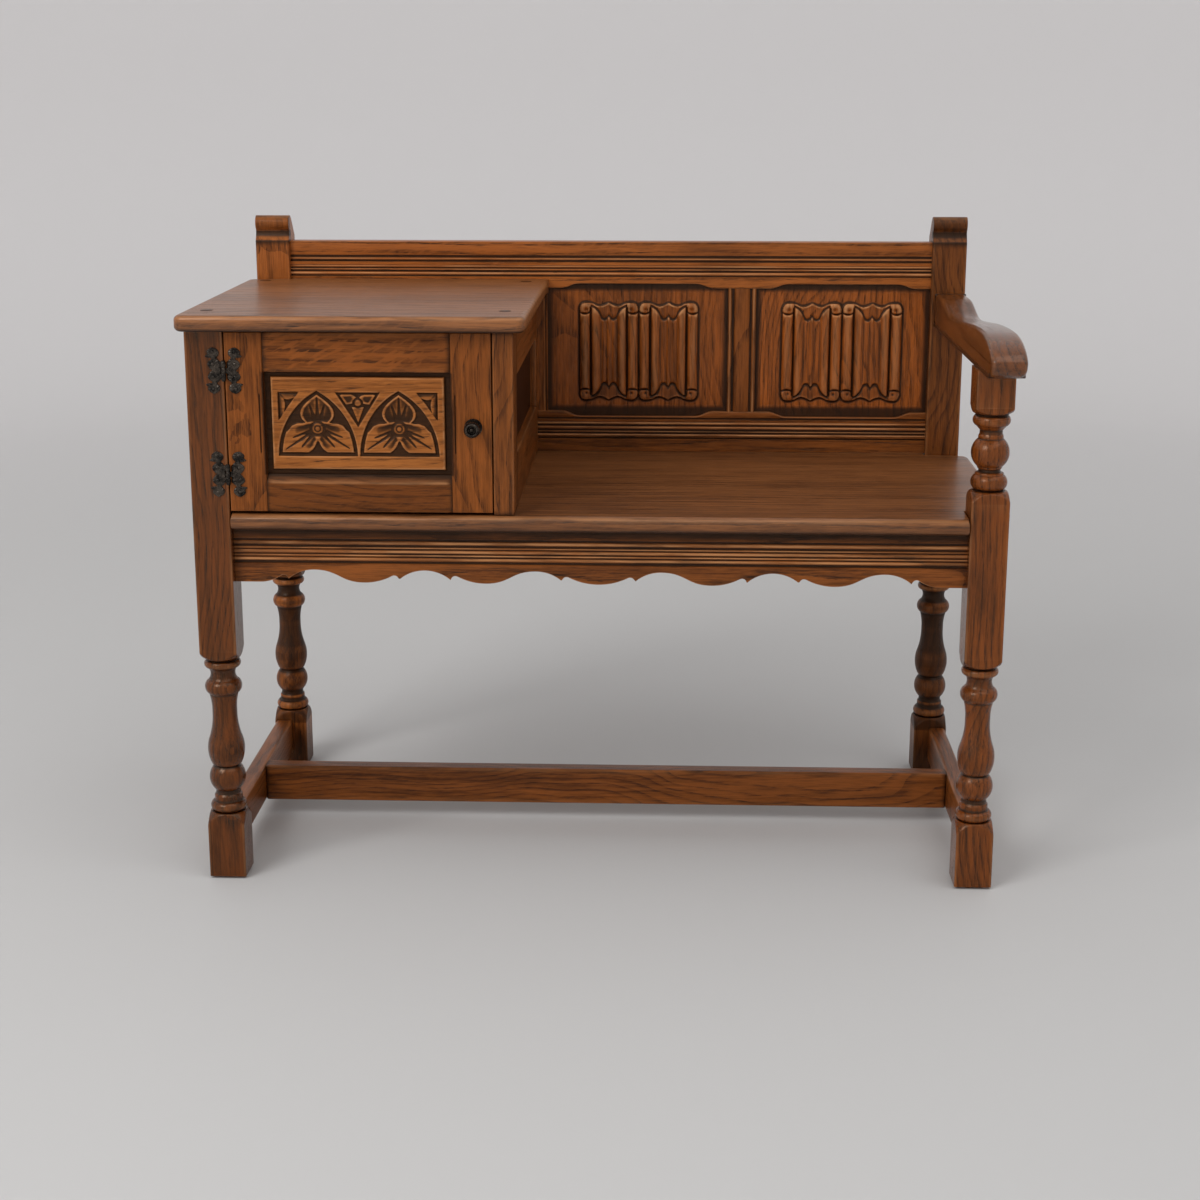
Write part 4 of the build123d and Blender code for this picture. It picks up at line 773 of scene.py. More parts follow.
def centre_height(u, w):
    """The middle triangle: two oval petals above, one straight one below, a small button."""
    half, slope = 27.0, 27.0 / 42.0
    m = np.abs(u)
    inside = np.minimum((half + w * slope - m) / np.hypot(1, slope), -w)
    lobes = 7.5 - np.hypot((m - 13) * 0.62, (w + 8.5) * 1.15)
    lobes = np.minimum(lobes, inside - 2.6)
    tail = np.minimum(7.4 - m - 0.38 * np.maximum(-w - 18, 0),
                      np.minimum(-w - 17.5, inside - 2.6))
    mask = smooth_step(-0.3, 0.9, np.maximum(lobes, tail))
    shape = -3.0 * smooth_step(0, 1.2, inside) * (1 - mask) \
        + (-1.0 - 0.5 * smooth_step(1.5, 4, lobes)) * mask
    away = np.hypot(u, w + 13)
    shape = np.where(away < 6.2, -3.0, shape)
    shape = np.where(away < 4.6, np.maximum(shape, 2.2 * bump(away, 4.7) - 3.0), shape)
    return np.where(inside > 0, shape, 0)


def corner_height(u, w):
    """A corner triangle: u and w run inwards from the outer top corner.

    A leaf of two half-round lobes lies in it, hollowed towards its edges and its fold.
    """
    reach = through([(0, 26), (8, 19.5), (16, 13.5), (24, 8), (32, 2.5), (34, 0)], w)
    inside = np.minimum(np.minimum(u, w), (reach - u) * 0.8)
    lobes = np.maximum(9.6 * bump(u - 11.5, 12.5) - w, 9.2 * bump(w - 16, 14) - u)
    mask = smooth_step(-0.3, 0.9, np.minimum(np.minimum(u, w) - 1.5, lobes))
    hollow = 0.9 * smooth_step(8, 2, np.minimum(u, w)) + 0.5 * np.exp(-((u - w) / 1.3) ** 2)
    ground = -3.0 * smooth_step(0, 1.2, inside)
    return np.where(inside > 0, ground * (1 - mask) - (0.55 + hollow) * mask, 0)


print("arch rises", round(np.sqrt(2 * ARCH_RADIUS * HALF_ARCH - HALF_ARCH ** 2), 1), "mm")


# %% Make the door panel
PANEL_MIDDLE = 199.75
ARCH_FROM_MIDDLE, CORNER_FROM_MIDDLE = 48, 94
ARCH_FOOT, ARCH_CROWN = 531.5, 608.0
FIELD_LEFT, FIELD_RIGHT, FIELD_LOW, FIELD_HIGH = 97.5, 302, 515.5, 626


def door_carved_panel():
    """Field at 4 mm behind the door's face, a sunk border round it, and the carving."""
    x, z = face_grid("door_carved_panel", step_x=0.62, step_z=0.62)
    u, w = x[:, None], z[None, :]
    side = np.where(u < PANEL_MIDDLE, -1, 1)
    carving = arch_height(u - (PANEL_MIDDLE + side * ARCH_FROM_MIDDLE), w - ARCH_FOOT)
    carving = carving + centre_height(u - PANEL_MIDDLE, w - ARCH_CROWN)
    from_outside = CORNER_FROM_MIDDLE - np.abs(u - PANEL_MIDDLE)
    carving = carving + np.where(from_outside < 45,
                                 corner_height(from_outside, ARCH_CROWN - w), 0)
    field = np.minimum(np.minimum(u - FIELD_LEFT, FIELD_RIGHT - u),
                       np.minimum(w - FIELD_LOW, FIELD_HIGH - w))
    sunk = -5.0 * (1 - smooth_step(-0.1, 1.3, field)) - 0.5 * smooth_step(3.5, 0.8, field)
    height = np.maximum(sunk + carving * (field > 0), -5.2)
    height = 0.5 * height + 0.5 * blurred(height, 1)
    glaze, wear = hollow_and_edge(height, reach=3, span=0.9)
    deep = 0.4 * smooth_step(-2.2, -2.8, height) + 0.25 * smooth_step(-0.6, -2.0, height) \
        + 0.54 * smooth_step(-0.55, -0.95, height)
    glaze = np.maximum(glaze * 1.1 + deep * (field > 1), smooth_step(0.6, -1.2, field))
    glaze = glaze + 0.3 * smooth_step(3, 0.4, field)
    finished(relief("door_carved_panel", x, z, 4 - np.minimum(height, 0), 14.0,
                    {"glaze": glaze, "wear": wear * 0.7}), "door_carved_panel")


door_carved_panel()

# %% [markdown]
# ## Planed boards with softened arrises
# Rails, stiles and stretchers are planed boards. No hand-finished board has a razor edge,
# and that small rounding is what catches the light. A Bevel modifier would do it too; the
# rings here also mark the rubbed strip along each arris.
# %% Boards
# The door's outer edges and the joints between its frame pieces, across and up.
DOOR_X = (46.5, 90.5, 309.0, 356.5)
DOOR_Z = (466.0, 510.0, 632.0, 678.0)
# Lowest corner, highest corner, the axis along which the board runs and, where they differ
# from the usual ones, its edge rounding and its slot.
BOARDS = {
    "side_front_stile": ((358, 0, 463), (382, 50, 680), 2),
    "side_rear_stile": ((362, 380, 463), (382, 408, 680), 2),
    "door_top_rail": ((DOOR_X[1], 0, DOOR_Z[2]), (DOOR_X[2], 20, DOOR_Z[3]), 0, LIP, "oak_door"),
    "centre_stretcher": ((28, 211, 23), (932, 233, 71), 0, 2.0),
    "rear_apron": ((48, 408, 378), (912, 430, 443), 0),
    "side_stretcher_left": ((6, 45, 23), (28, 400, 71), 1, 3.0),
    "side_stretcher_right": ((932, 45, 23), (954, 400, 71), 1, 3.0),
    "side_apron_left": ((6, 45, 378), (28, 400, 443), 1),
    "side_apron_right": ((932, 45, 378), (954, 400, 443), 1),
    "side_bottom_rail": ((362, 50, 463), (382, 380, 530), 1),
    "side_top_rail": ((362, 50, 622), (382, 380, 680), 1),
    "end_bottom_rail": ((6, 45, 463), (26, 400, 530), 1),
    "end_top_rail": ((6, 45, 622), (26, 400, 680), 1),
}


def board(node, low, high, axis, lip=LIP, slot="oak_frame"):
    """A box with rounded edges: rounded rectangles carried along one axis.

    Towards each end the rectangle shrinks by a quarter circle, which rounds the ends.
    """
    low, high = np.array(low, float), np.array(high, float)
    b, c = [k for k in range(3) if k != axis]
    half, centre = (high - low) / 2, (high + low) / 2
    turn = np.radians([0, 22.5, 45, 67.5, 90])
    corner = np.stack([half[b] - lip + lip * np.cos(turn),
                       half[c] - lip + lip * np.sin(turn)], -1)
    near = np.array([[half[b] - min(6, half[b] * 0.45), half[c]]])
    strip = np.array([[half[b] * 0.5, half[c]], [0, half[c]], [-half[b] * 0.5, half[c]]])
    flank = np.array([[-half[b], half[c] * 0.4], [-half[b], -half[c] * 0.4]])
    first = np.concatenate([corner, near, strip, near * [-1, 1], (corner * [-1, 1])[::-1],
                            flank])
    ring = np.concatenate([first, -first])
    # The ring's rounded corners are rubbed most, and the points beside them a little.
    rub = np.tile([0.9] * 5 + [0.1, 0, 0, 0, 0.1] + [0.9] * 5 + [0, 0], 2)
    end, inset = lip * (1 - np.cos(turn)), lip * (1 - np.sin(turn))
    along = np.concatenate([low[axis] + end, np.linspace(low[axis] + 8, high[axis] - 8, 12),
                            (high[axis] - end)[::-1]])
    inset = np.concatenate([inset, np.zeros(12), inset[::-1]])[:, None]
    points = np.zeros((len(along), len(ring), 3))
    points[..., axis] = along[:, None]
    points[..., b] = centre[b] + ring[:, 0] * (1 - inset / half[b])
    points[..., c] = centre[c] + ring[:, 1] * (1 - inset / half[c])
    ends = smooth_step(7, 1, np.minimum(along - low[axis], high[axis] - along))[:, None]
    wear = 0.4 * (rub[None, :] * (1 - ends))
    masks = {"glaze": np.broadcast_to(0.62 * ends, wear.shape), "wear": wear}
    finished(carried(node, points, masks, sharp=50), node)


for node, values in BOARDS.items():
    board(node, *values)

# %% [markdown]
# The stiles of the door carry one scratched line each, stopped above and below, and the
# bottom rail slopes up to the panel like a small window sill. The stiles are height
# fields like the carvings; the rail is its section, carried along.
# %% Door stiles and bottom rail
SCRATCH_FROM_JOINT = 5.1
DOOR_THICKNESS = 20.0
# The rail's section from below the front arris to the back: y, z, glaze and wear.
SILL = [(0, 472, 0, 0), (0, 482, 0, 0), (0, 492, 0, 0), (0, 498, 0.1, 0.1),
        (0.1, 500.2, 0.1, 0.5), (0.5, 501.3, 0, 0.6), (1.6, 503.1, 0.25, 0.4),
        (4.8, 508.1, 0.7, 0), (6, 510, 1, 0), (20, 510, 0.2, 0), (20, 466, 0, 0)]


def scratched_stile(node, joint, line):
    """A stile with rounded arrises and, at x = line, a narrow half-round channel."""
    low, high = limits(node)
    close = np.linspace(0.1, 1.4, 5)
    x = np.unique(np.concatenate([np.linspace(low[0], high[0], 30), low[0] + close,
                                  high[0] - close, line + np.linspace(-1.3, 1.3, 9)]))
    z = np.unique(np.concatenate([np.linspace(DOOR_Z[0], DOOR_Z[3], 90), DOOR_Z[0] + close,
                                  DOOR_Z[3] - close]))
    u, w = x[:, None], z[None, :]
    edge = np.minimum(np.minimum(u - x[0], x[-1] - u), np.minimum(w - z[0], z[-1] - w))
    drop = LIP * (1 - bump(LIP - np.clip(edge, 0, LIP), LIP))
    scratch = bump(u - line, 0.9) * smooth_step(0, 4, np.minimum(w - 534, 608 - w))
    beside = smooth_step(5, 0, np.abs(u - joint)) * (0.5 + 0.5 * (np.abs(w - 571) < 61))
    masks = {"glaze": np.maximum(0.95 * scratch, 0.75 * beside),
             "wear": 0.35 * smooth_step(2.6, 0.8, edge) * (1 - beside)}
    finished(relief(node, x, z, drop + 1.1 * scratch, DOOR_THICKNESS, masks), node)


def sill_rail(node):
    """The bottom rail: front face, a slope that rises 9.5 mm over 6 mm, level back."""
    turn = np.radians([0, 30, 60, 90])
    arris = np.stack([LIP - LIP * np.sin(turn), DOOR_Z[0] + LIP - LIP * np.cos(turn),
                      np.zeros(4), [0.3, 0.4, 0.4, 0.1]], -1)
    section = np.concatenate([arris, SILL])
    x = np.linspace(DOOR_X[1], DOOR_X[2], 60)
    rings = np.zeros((len(x), len(section), 3))
    rings[..., 0] = x[:, None]
    rings[..., 1:] = section[:, :2]
    ends = smooth_step(6, 0, np.minimum(x - x[0], x[-1] - x))[:, None]
    masks = {"glaze": np.maximum(0.7 * ends, section[:, 2]), "wear": section[:, 3] * (1 - ends)}
    finished(carried(node, rings, masks, sharp=40), node)


scratched_stile("door_hinge_stile", DOOR_X[1], DOOR_X[1] - SCRATCH_FROM_JOINT)
scratched_stile("door_lock_stile", DOOR_X[2], DOOR_X[2] + SCRATCH_FROM_JOINT)
sill_rail("door_bottom_rail")

# %% [markdown]
# The seat and the table top are wide boards notched round the legs. Their outline is a
# list of corners, and each ring is that outline drawn in by a quarter circle near the
# faces, more on the free edges than where the board is notched.
# %% Seat and table top
TABLE_TOP = 699.0
# Edge rounding in a notch, and how far in from the outline the flat face's own ring lies.
NOTCHED = 0.8
FACE_INSET = 9.0
# Painted shade and wear of the 16 rings of a wide board, from its lower face to its upper one; the
# shade darkens the underside and the lower half of the rounded edge.
SLAB_LOWER_SHADE = np.array([1, 1, 0.95, 0.85, 0.65, 0.5, 0.38, 0.28, 0, 0, 0, 0, 0, 0, 0, 0])
SLAB_WEAR = np.array([0, 0, 0, 0, 0.1, 0.2, 0.2, 0.2, 0.3, 0.4, 0.55, 0.55, 0.4, 0.3, 0.1, 0])


def rounded_corner(x, y, radius, first):
    """Points of a quarter circle that cuts off a corner, from the given angle on."""
    turn = np.radians(first + np.linspace(0, 90, 7))
    centre = (x - radius * np.sign(np.cos(turn[3])), y - radius * np.sign(np.sin(turn[3])))
    return [(centre[0] + radius * np.cos(t), centre[1] + radius * np.sin(t)) for t in turn]


def inward_ways(plan):
    """At each corner, the way into the board that keeps both edges parallel to themselves."""
    before, after = plan - np.roll(plan, 1, 0), np.roll(plan, -1, 0) - plan
    before /= np.linalg.norm(before, axis=1)[:, None]
    after /= np.linalg.norm(after, axis=1)[:, None]
    inward = np.stack([-(before + after)[:, 1], (before + after)[:, 0]], -1)
    inward /= np.linalg.norm(inward, axis=1)[:, None]
    cosine = np.einsum("ij,ij->i", inward, np.stack([-after[:, 1], after[:, 0]], -1))
    return inward / np.maximum(cosine, 0.5)[:, None]


def slab(node, corners, rounding, low, high, slot, masks=None, axes=(0, 1, 2)):
    """A flat board from its outline; each corner has its own edge rounding.

    axes names the coordinates of the outline and of the thickness: a plan by default, and
    for the arm a side view. masks gives the glaze and wear of each of the 16 rings.
    """
    plan = np.array(corners, float)
    radius = np.array(rounding, float)[None, :]
    turn = np.radians([0, 15, 30, 45, 60, 75, 90])[:, None]
    pull, lift = radius * (1 - np.sin(turn)), radius * (1 - np.cos(turn))
    flat, none = np.full_like(radius, FACE_INSET), np.zeros_like(radius)
    pulled = np.concatenate([flat, pull, pull[::-1], flat])
    height = np.concatenate([none + low, low + lift, high - lift[::-1], none + high])
    drawn = plan[None] + inward_ways(plan)[None] * pulled[..., None]
    rings = np.zeros(pulled.shape + (3,))
    for axis, values in zip(axes, (drawn[..., 0], drawn[..., 1], height)):
        rings[..., axis] = values
    if masks is None:
        # Free edges get painted shade on their lower rings and wear on their upper ones.
        free = radius > 3
        masks = {"glaze": SLAB_LOWER_SHADE[:, None] * free, "wear": SLAB_WEAR[:, None] * free}
    finished(carried(node, rings, masks, sharp=60), node)


def outline(*groups):
    """Joins (points, rounding) groups into one outline and one list of roundings."""
    corners = [corner for points, rounding in groups for corner in points]
    return corners, [rounding for points, rounding in groups for corner in points]


slab("seat_board", *outline(
    ([(46.5, -6), (913.5, -6)], 7), ([(913.5, 4), (913.5, 46.5)], NOTCHED),
    (rounded_corner(970, 46.5, 11, -90) + rounded_corner(970, 398, 14, 0), 7),
    ([(910.5, 398), (910.5, 430), (49.5, 430), (49.5, 398)], NOTCHED),
    (rounded_corner(-10, 398, 14, 90) + rounded_corner(-10, 46.5, 14, 180), 7),
    ([(46.5, 46.5), (46.5, 4)], NOTCHED)), SEAT_LOW, SEAT_TOP, "oak_board")
slab("cabinet_top", *outline(
    (rounded_corner(-8, -20, 12, 180) + rounded_corner(398, -20, 12, -90) + [(398, 380)], 6),
    ([(398, 408), (49.5, 408), (49.5, 398.5)], NOTCHED),
    (rounded_corner(-8, 398.5, 12, 90), 6)), TABLE_LOW, TABLE_TOP, "oak_board")

# %% [markdown]
# The arm is the same kind of form seen from the side: an outline of four curves, sawn from
# thick board, with its upper edges rounded well over because a hand slides along them.
# Forearms keep the top and the nose bright; painted shade darkens the underside and the end
# against the post.
# %% Make the arm
ARM_TOP = 682.0
ARM_SIDES = (917, 958)
# Wear of the 16 rings, from one side of the arm to the other: most on both upper arrises.
ARM_WEAR = np.array([0, 0.1, 0.3, 0.5, 0.6, 0.6, 0.4, 0.2, 0.2, 0.4, 0.6, 0.6, 0.5, 0.3, 0.1, 0])
# Each curve has four guiding points in y and z, and a number of points.
ARM_CURVES = [([(350, ARM_TOP), (318.3, ARM_TOP), (293, 667), (255, 667)], 26),
              ([(255, 667), (191.25, 667), (109.3, 683), (0, 683)], 26),
              ([(0, 683), (-49.2, 683), (-82, 668.1), (-82, 657)], 30),
              ([(-82, 657), (-82, 645.1), (-71.9, ARM_LOW), (-55, ARM_LOW)], 20)]


def arm_rest():
    """Side outline in y and z: flat at the post, dip, swell, round nose, level underside."""
    corners = np.concatenate(
        [[(POST_FRONT, ARM_LOW), (POST_FRONT, ARM_TOP)],
         np.stack([np.linspace(398, 352, 8), np.full(8, ARM_TOP)], -1)]
        + [bezier(points, np.linspace(0, 1, count, endpoint=False))
           for points, count in ARM_CURVES]
        + [np.stack([np.linspace(-55, 398, 50), np.full(50, ARM_LOW)], -1)])
    y, z = corners.T
    rounding = np.where((z > ARM_LOW + 1.5) & (y < POST_FRONT - 1), 6.0, 0.9)
    # Painted shade under the arm and at its end against the post.
    shade_below = np.clip(smooth_step(643, 638.5, z) + smooth_step(388, 399, y), 0, 1)
    nose = 0.35 + 0.65 * smooth_step(60, -60, y)
    on_side = np.where(ARM_WEAR > 0, 1.0, 0.15)[:, None]
    glaze = 0.75 * on_side * shade_below + 0.12 * smooth_step(0.35, 0.0, ARM_WEAR)[:, None]
    wear = ARM_WEAR[:, None] * (0.6 * nose * (rounding > 3))
    slab("arm_rest", corners, rounding, *ARM_SIDES, "oak_arm", {"glaze": glaze, "wear": wear},
         (1, 2, 0))


arm_rest()

# %% [markdown]
# ## Cockscomb hinges
# Each leaf is a casting: lobes round the nails, hooks at the corners, and fine flutes that
# run out from the nails like a comb. A row of edge points at each height gives the
# outline, and a thickness on a grid between them gives the modelling. The knuckles are
# rings with a hole for the pin, turned like beads.
# %% Make the hinge leaves
# The pin's place in x and y, the radii of its hole and of a knuckle's ends, and the nails'
# distance from the pin and from the leaf's middle.
PIN = np.array([45.75, -3.2])
PIN_HOLE, KNUCKLE = 1.62, 2.35
NAIL_FROM_PIN, NAIL_ROWS = 13, (7.5, 22.0)
# Height above the leaf's middle, and the two edges' distances from the pin.
LEAF = np.array([(0, 3.5, 14.2), (2.5, 3.5, 16.6), (5, 3.5, 18.6), (7.5, 3.5, 19.3),
                 (10, 3.5, 18.4), (10.8, 4.6, 17.6), (12.6, 6.4, 14.9), (13.9, 8.0, 13.9),
                 (14.7, 8.6, 14.6), (15.2, 8.4, 19.4), (16, 7.6, 21.8), (17, 6.6, 21.6),
                 (18.2, 5.8, 19.9), (19.4, 5.3, 19.0), (21.5, 5.2, 19.7), (23.5, 6.0, 18.9),
                 (25.4, 8.0, 16.8), (26.6, 10.6, 14.8), (27, 12.4, 13.6)])


def leaf_plate(way, height):
    """The leaf between its two edges: thicker in the middle, fluted round each nail."""
    w = np.concatenate([-LEAF[::-1, 0], LEAF[1:, 0]])
    w = np.interp(np.linspace(0, len(w) - 1, 121), np.arange(len(w)), w)[:, None]
    m = np.abs(w)
    near, far = (np.interp(m, LEAF[:, 0], LEAF[:, k]) for k in (1, 2))
    t = np.sin(np.linspace(-np.pi / 2, np.pi / 2, 25))[None, :]
    u = (near + far) / 2 + (far - near) / 2 * t
    row = np.where(m < 14.6, *NAIL_ROWS)
    away = np.hypot(u - NAIL_FROM_PIN, m - row)
    angle = np.arctan2(m - row, u - NAIL_FROM_PIN + 1e-6)
    flutes = np.cos(12 * angle) * smooth_step(2.4, 5.0, away)
    thick = 0.5 + 1.15 * np.sqrt(np.clip(1 - t ** 4, 0, 1)) + 0.28 * flutes
    thick = np.where(away < 3, 1.5, thick) * np.where(np.abs(t) > 0.999, 0.4, 1)
    front = np.stack([PIN[0] + way * u, -np.clip(thick, 0.2, 2.0), height + w + 0 * u], -1)
    rings = np.concatenate([front, front[:, [-1, 0]] * [1, 0, 1]], 1)
    return rings, grid_quads(*rings.shape[:2], True), end_faces(*rings.shape[:2])


def knuckle(low, high):
    """A ring round the pin: a bulging outer wall and a straight hole, closed on itself."""
    s = np.linspace(-1, 1, 9)
    radius = np.concatenate([KNUCKLE + 0.65 * np.sqrt(1 - s * s), [PIN_HOLE, PIN_HOLE]])
    level = np.concatenate([low + (high - low) * (s + 1) / 2, [high, low]])
    angle = np.radians(np.arange(0, 360, 15.0))
    rows, columns = len(radius), len(angle)
    tube = np.stack([PIN[0] + radius[:, None] * np.cos(angle),
                     PIN[1] + radius[:, None] * np.sin(angle),
                     np.broadcast_to(level[:, None], (rows, columns))], -1)
    return tube, grid_quads(rows + 1, columns, True) % (rows * columns), []


def strap(way, low, high):
    """The short bar that carries a knuckle to its leaf."""
    bar = [(PIN[0] + way * a, b, c) for c in (low + 0.4, high - 0.4)
           for a, b in ((1.9, -1.6), (4.2, -1.6), (4.2, -0.1), (1.9, -0.1))]
    return np.array(bar), grid_quads(2, 4, True), end_faces(2, 4)


def joined(name, shells, masks, sharp=38):
    """One mesh of several closed shells, each turned outwards before they are joined."""
    points, quads, polygons, start = [], [], [], 0
    for shell, faces, ends in shells:
        shell = shell.reshape(-1, 3)
        faces, ends = outward(shell, faces, ends)
        points.append(shell)
        quads.append(faces + start)
        polygons += [end + start for end in ends]
        start += len(shell)
    return make_mesh(name, np.concatenate(points), np.concatenate(quads), polygons, masks, sharp)


def hinge_leaf(node, way, height, knuckles):
    """One fluted leaf lying on the face y = 0, and its share of the round knuckles."""
    shells = [leaf_plate(way, height)]
    for low, high in knuckles:
        shells += [knuckle(height + low, height + high), strap(way, height + low, height + high)]
    finished(joined(node, shells, {}, sharp=50), node)


for level, height in (("upper", 633.3), ("lower", 510.7)):
    hinge_leaf(f"hinge_{level}_leg_leaf", -1, height, ((-10.8, -3.8), (3.8, 10.8)))
    hinge_leaf(f"hinge_{level}_door_leaf", 1, height, ((-3.5, 3.5),))

# %% [markdown]
# ## Knob
# The knob is turned brass with a dark finish: a thin neck, a rounded rim, a sunk ring and
# a small button in the middle. It is one profile, turned about the knob's own axis.
# %% Make the knob
# Radius and distance from the plate, from the screw hole outwards and back to the middle.
KNOB = np.array([(0.05, 10), (1.9, 10), (1.95, 9.7), (1.95, 0.3), (2.1, 0), (5.6, 0), (5.9, 0.3),
                 (5.2, 1.6), (4.6, 3.6), (4.6, 6), (5.1, 8.6), (6.3, 10.8), (8.0, 12.4),
                 (9.1, 13.8), (9.5, 15.4), (9.4, 17), (8.8, 18.6), (8.0, 19.9), (7.2, 20.8),
                 (6.4, 21.1), (5.6, 20.8), (5.0, 19.9), (4.6, 18.6), (4.3, 17.6), (3.8, 17.1),
                 (3.2, 17.1), (2.8, 17.6), (2.5, 18.6), (2.0, 19.3), (1.3, 19.7), (0.6, 19.9),
                 (0.05, 19.95)])


def door_knob():
    """Each point of the profile goes round a circle about the middle of the plate."""
    angle = np.radians(np.arange(0, 360, 7.5))
    low, high = limits("knob_plate")
    middle = (low + high) / 2
    rings = np.stack([middle[0] + KNOB[:, :1] * np.cos(angle),
                      np.broadcast_to(low[1] - KNOB[:, 1:], (len(KNOB), len(angle))),
                      middle[2] + KNOB[:, :1] * np.sin(angle)], -1)
    finished(carried("door_knob", rings, {}, sharp=60), "door_knob")


door_knob()

# %% [markdown]
# ## Plugs
# Four screws hold the table top. A maker hides each under a round plug of oak, whose end
# stands a hair proud and takes the stain darker, with a dark ring in the joint.
# %% Plugs
# The middle of each plug, in x and y.
PLUG_MIDDLES = [(20, 36), (370, 40), (20, 375), (370, 375)]
# Radius and height of each ring of a plug, from the joint to the crown.
PLUG = np.array([(7.5, 697.5), (7.5, 698.9), (7.2, 699.25), (6.6, 699.4), (5.0, 699.46),
                 (2.5, 699.5), (0.4, 699.5)])


def top_plugs():
    """Four low domes, one shell each, with dark glaze on the outermost rings."""
    angle = np.radians(np.arange(0, 360, 10.0))
    shape = (len(PLUG), len(angle))
    shells = []
    for x, y in PLUG_MIDDLES:
        rings = np.stack([x + PLUG[:, :1] * np.cos(angle), y + PLUG[:, :1] * np.sin(angle),
                          np.broadcast_to(PLUG[:, 1:], shape)], -1)
        shells.append((rings, grid_quads(*shape, True), end_faces(*shape)))
    dark = np.tile(np.repeat(PLUG[:, 0] > 6.9, len(angle)), len(shells)).astype(float)
    finished(joined("top_plugs", shells, {"glaze": dark, "wear": 0 * dark}), "top_plugs")


top_plugs()

# %% [markdown]
# ## One grain for every piece
# Oak shows three things at once: broad bands from the growth rings, long streaks, and
# short dark pores. A photograph of a board would do, but it repeats; noise in three
# dimensions runs through the wood, so end grain and faces agree. The group reads a
# position whose third axis lies along the grain.
# %% Node helpers
def new_group(name, inputs, outputs):
    """A shader node group with named sockets; returns it with its two end nodes."""
    group = bpy.data.node_groups.new(name, "ShaderNodeTree")
    for label, kind, value in inputs:
        socket = group.interface.new_socket(label, in_out="INPUT", socket_type=kind)
        if value is not None:
            socket.default_value = value
    for label, kind in outputs:
        group.interface.new_socket(label, in_out="OUTPUT", socket_type=kind)
    return group, group.nodes.new("NodeGroupInput"), group.nodes.new("NodeGroupOutput")


def set_values(node, values):
    """Puts plain numbers or colours on the named inputs of a node."""
    for label, value in values.items():
        node.inputs[label].default_value = value


def math_node(tree, operation, *values):
    """A Math node whose inputs are sockets or numbers; returns its output."""
    node = tree.nodes.new("ShaderNodeMath")
    node.operation = operation
    for socket, value in zip(node.inputs, values):
        if isinstance(value, float):
            socket.default_value = value
        else:
            tree.links.new(value, socket)
    return node.outputs[0]


def plus_share(tree, base, value, share):
    """The base plus a share of the value."""
    return math_node(tree, "ADD", base, math_node(tree, "MULTIPLY", value, share))


def mix_colours(tree, share, first, second):
    """A colour Mix node, from the first colour to the second; returns its output."""
    node = tree.nodes.new("ShaderNodeMix")
    node.data_type = "RGBA"
    for index, value in ((0, share), (6, first), (7, second)):
        if isinstance(value, tuple):
            node.inputs[index].default_value = value
        else:
            tree.links.new(value, node.inputs[index])
    return node.outputs[2]


def noise(tree, position, along, scale, detail, rough):
    """Noise drawn out along the grain: the third axis is scaled before the look-up."""
    mapping = tree.nodes.new("ShaderNodeMapping")
    mapping.inputs["Scale"].default_value = (1, 1, along)
    tree.links.new(position, mapping.inputs["Vector"])
    texture = tree.nodes.new("ShaderNodeTexNoise")
    set_values(texture, {"Scale": scale, "Detail": detail, "Roughness": rough})
    tree.links.new(mapping.outputs[0], texture.inputs["Vector"])
    return texture.outputs["Fac"]


def ranged(tree, value, low, high, to_low=0.0, to_high=1.0):
    """Map Range, smooth and clamped; returns its output."""
    node = tree.nodes.new("ShaderNodeMapRange")
    node.interpolation_type = "SMOOTHSTEP"
    tree.links.new(value, node.inputs["Value"])
    set_values(node, {"From Min": low, "From Max": high, "To Min": to_low, "To Max": to_high})
    return node.outputs[0]


def colour(red, green, blue, shade=1.0):
    """A screen colour from 0 to 255 as the linear colour of shaders, times a shade."""
    c = np.array([red, green, blue]) / 255
    linear = np.where(c <= 0.04045, c / 12.92, ((c + 0.055) / 1.055) ** 2.4)
    return (*(linear * shade).tolist(), 1.0)


print("dark glaze as a linear colour:", [round(c, 4) for c in colour(20, 8, 4)])

# %% Grain group
# Each layer of noise: its stretch along the grain, scale, detail and roughness.
DRIFT, BROAD, STREAK = (0.16, 9.0, 3, 0.55), (0.06, 105.0, 3, 0.6), (0.07, 240.0, 4, 0.65)
FINE, PORES = (0.05, 700.0, 3, 0.65), (0.038, 800.0, 3, 0.7)
SWAY, RAYS = (0.5, 5.0, 3, 0.4), (0.22, 210.0, 2, 0.5)
PORE_COLOUR = colour(30, 13, 6)


def growth_rings(tree, place, spacing):
    """Saw-toothed rings round the grain's axis, their place swayed by slow noise."""
    wave = tree.nodes.new("ShaderNodeTexWave")
    wave.wave_type = "RINGS"
    wave.wave_profile = "SAW"
    wave.rings_direction = "Z"
    set_values(wave, {"Distortion": 0.5, "Detail Scale": 3.0})
    shift = tree.nodes.new("ShaderNodeVectorMath")
    shift.operation = "MULTIPLY_ADD"
    shift.inputs[1].default_value = (0.14, 0.14, 0.0)
    tree.links.new(noise(tree, place, *SWAY), shift.inputs[0])
    tree.links.new(place, shift.inputs[2])
    tree.links.new(shift.outputs[0], wave.inputs["Vector"])
    tree.links.new(spacing, wave.inputs["Scale"])
    return ranged(tree, wave.outputs["Fac"], 0.0, 0.5)


def ray_flecks(tree, place, amount):
    """Short bright flecks that cross the grain at a slant."""
    slanted = tree.nodes.new("ShaderNodeMapping")
    slanted.inputs["Rotation"].default_value = (0.0, 0.45, 0.0)
    tree.links.new(place, slanted.inputs["Vector"])
    rays = noise(tree, slanted.outputs[0], *RAYS)
    return math_node(tree, "MULTIPLY", ranged(tree, rays, 0.5, 0.6), amount)


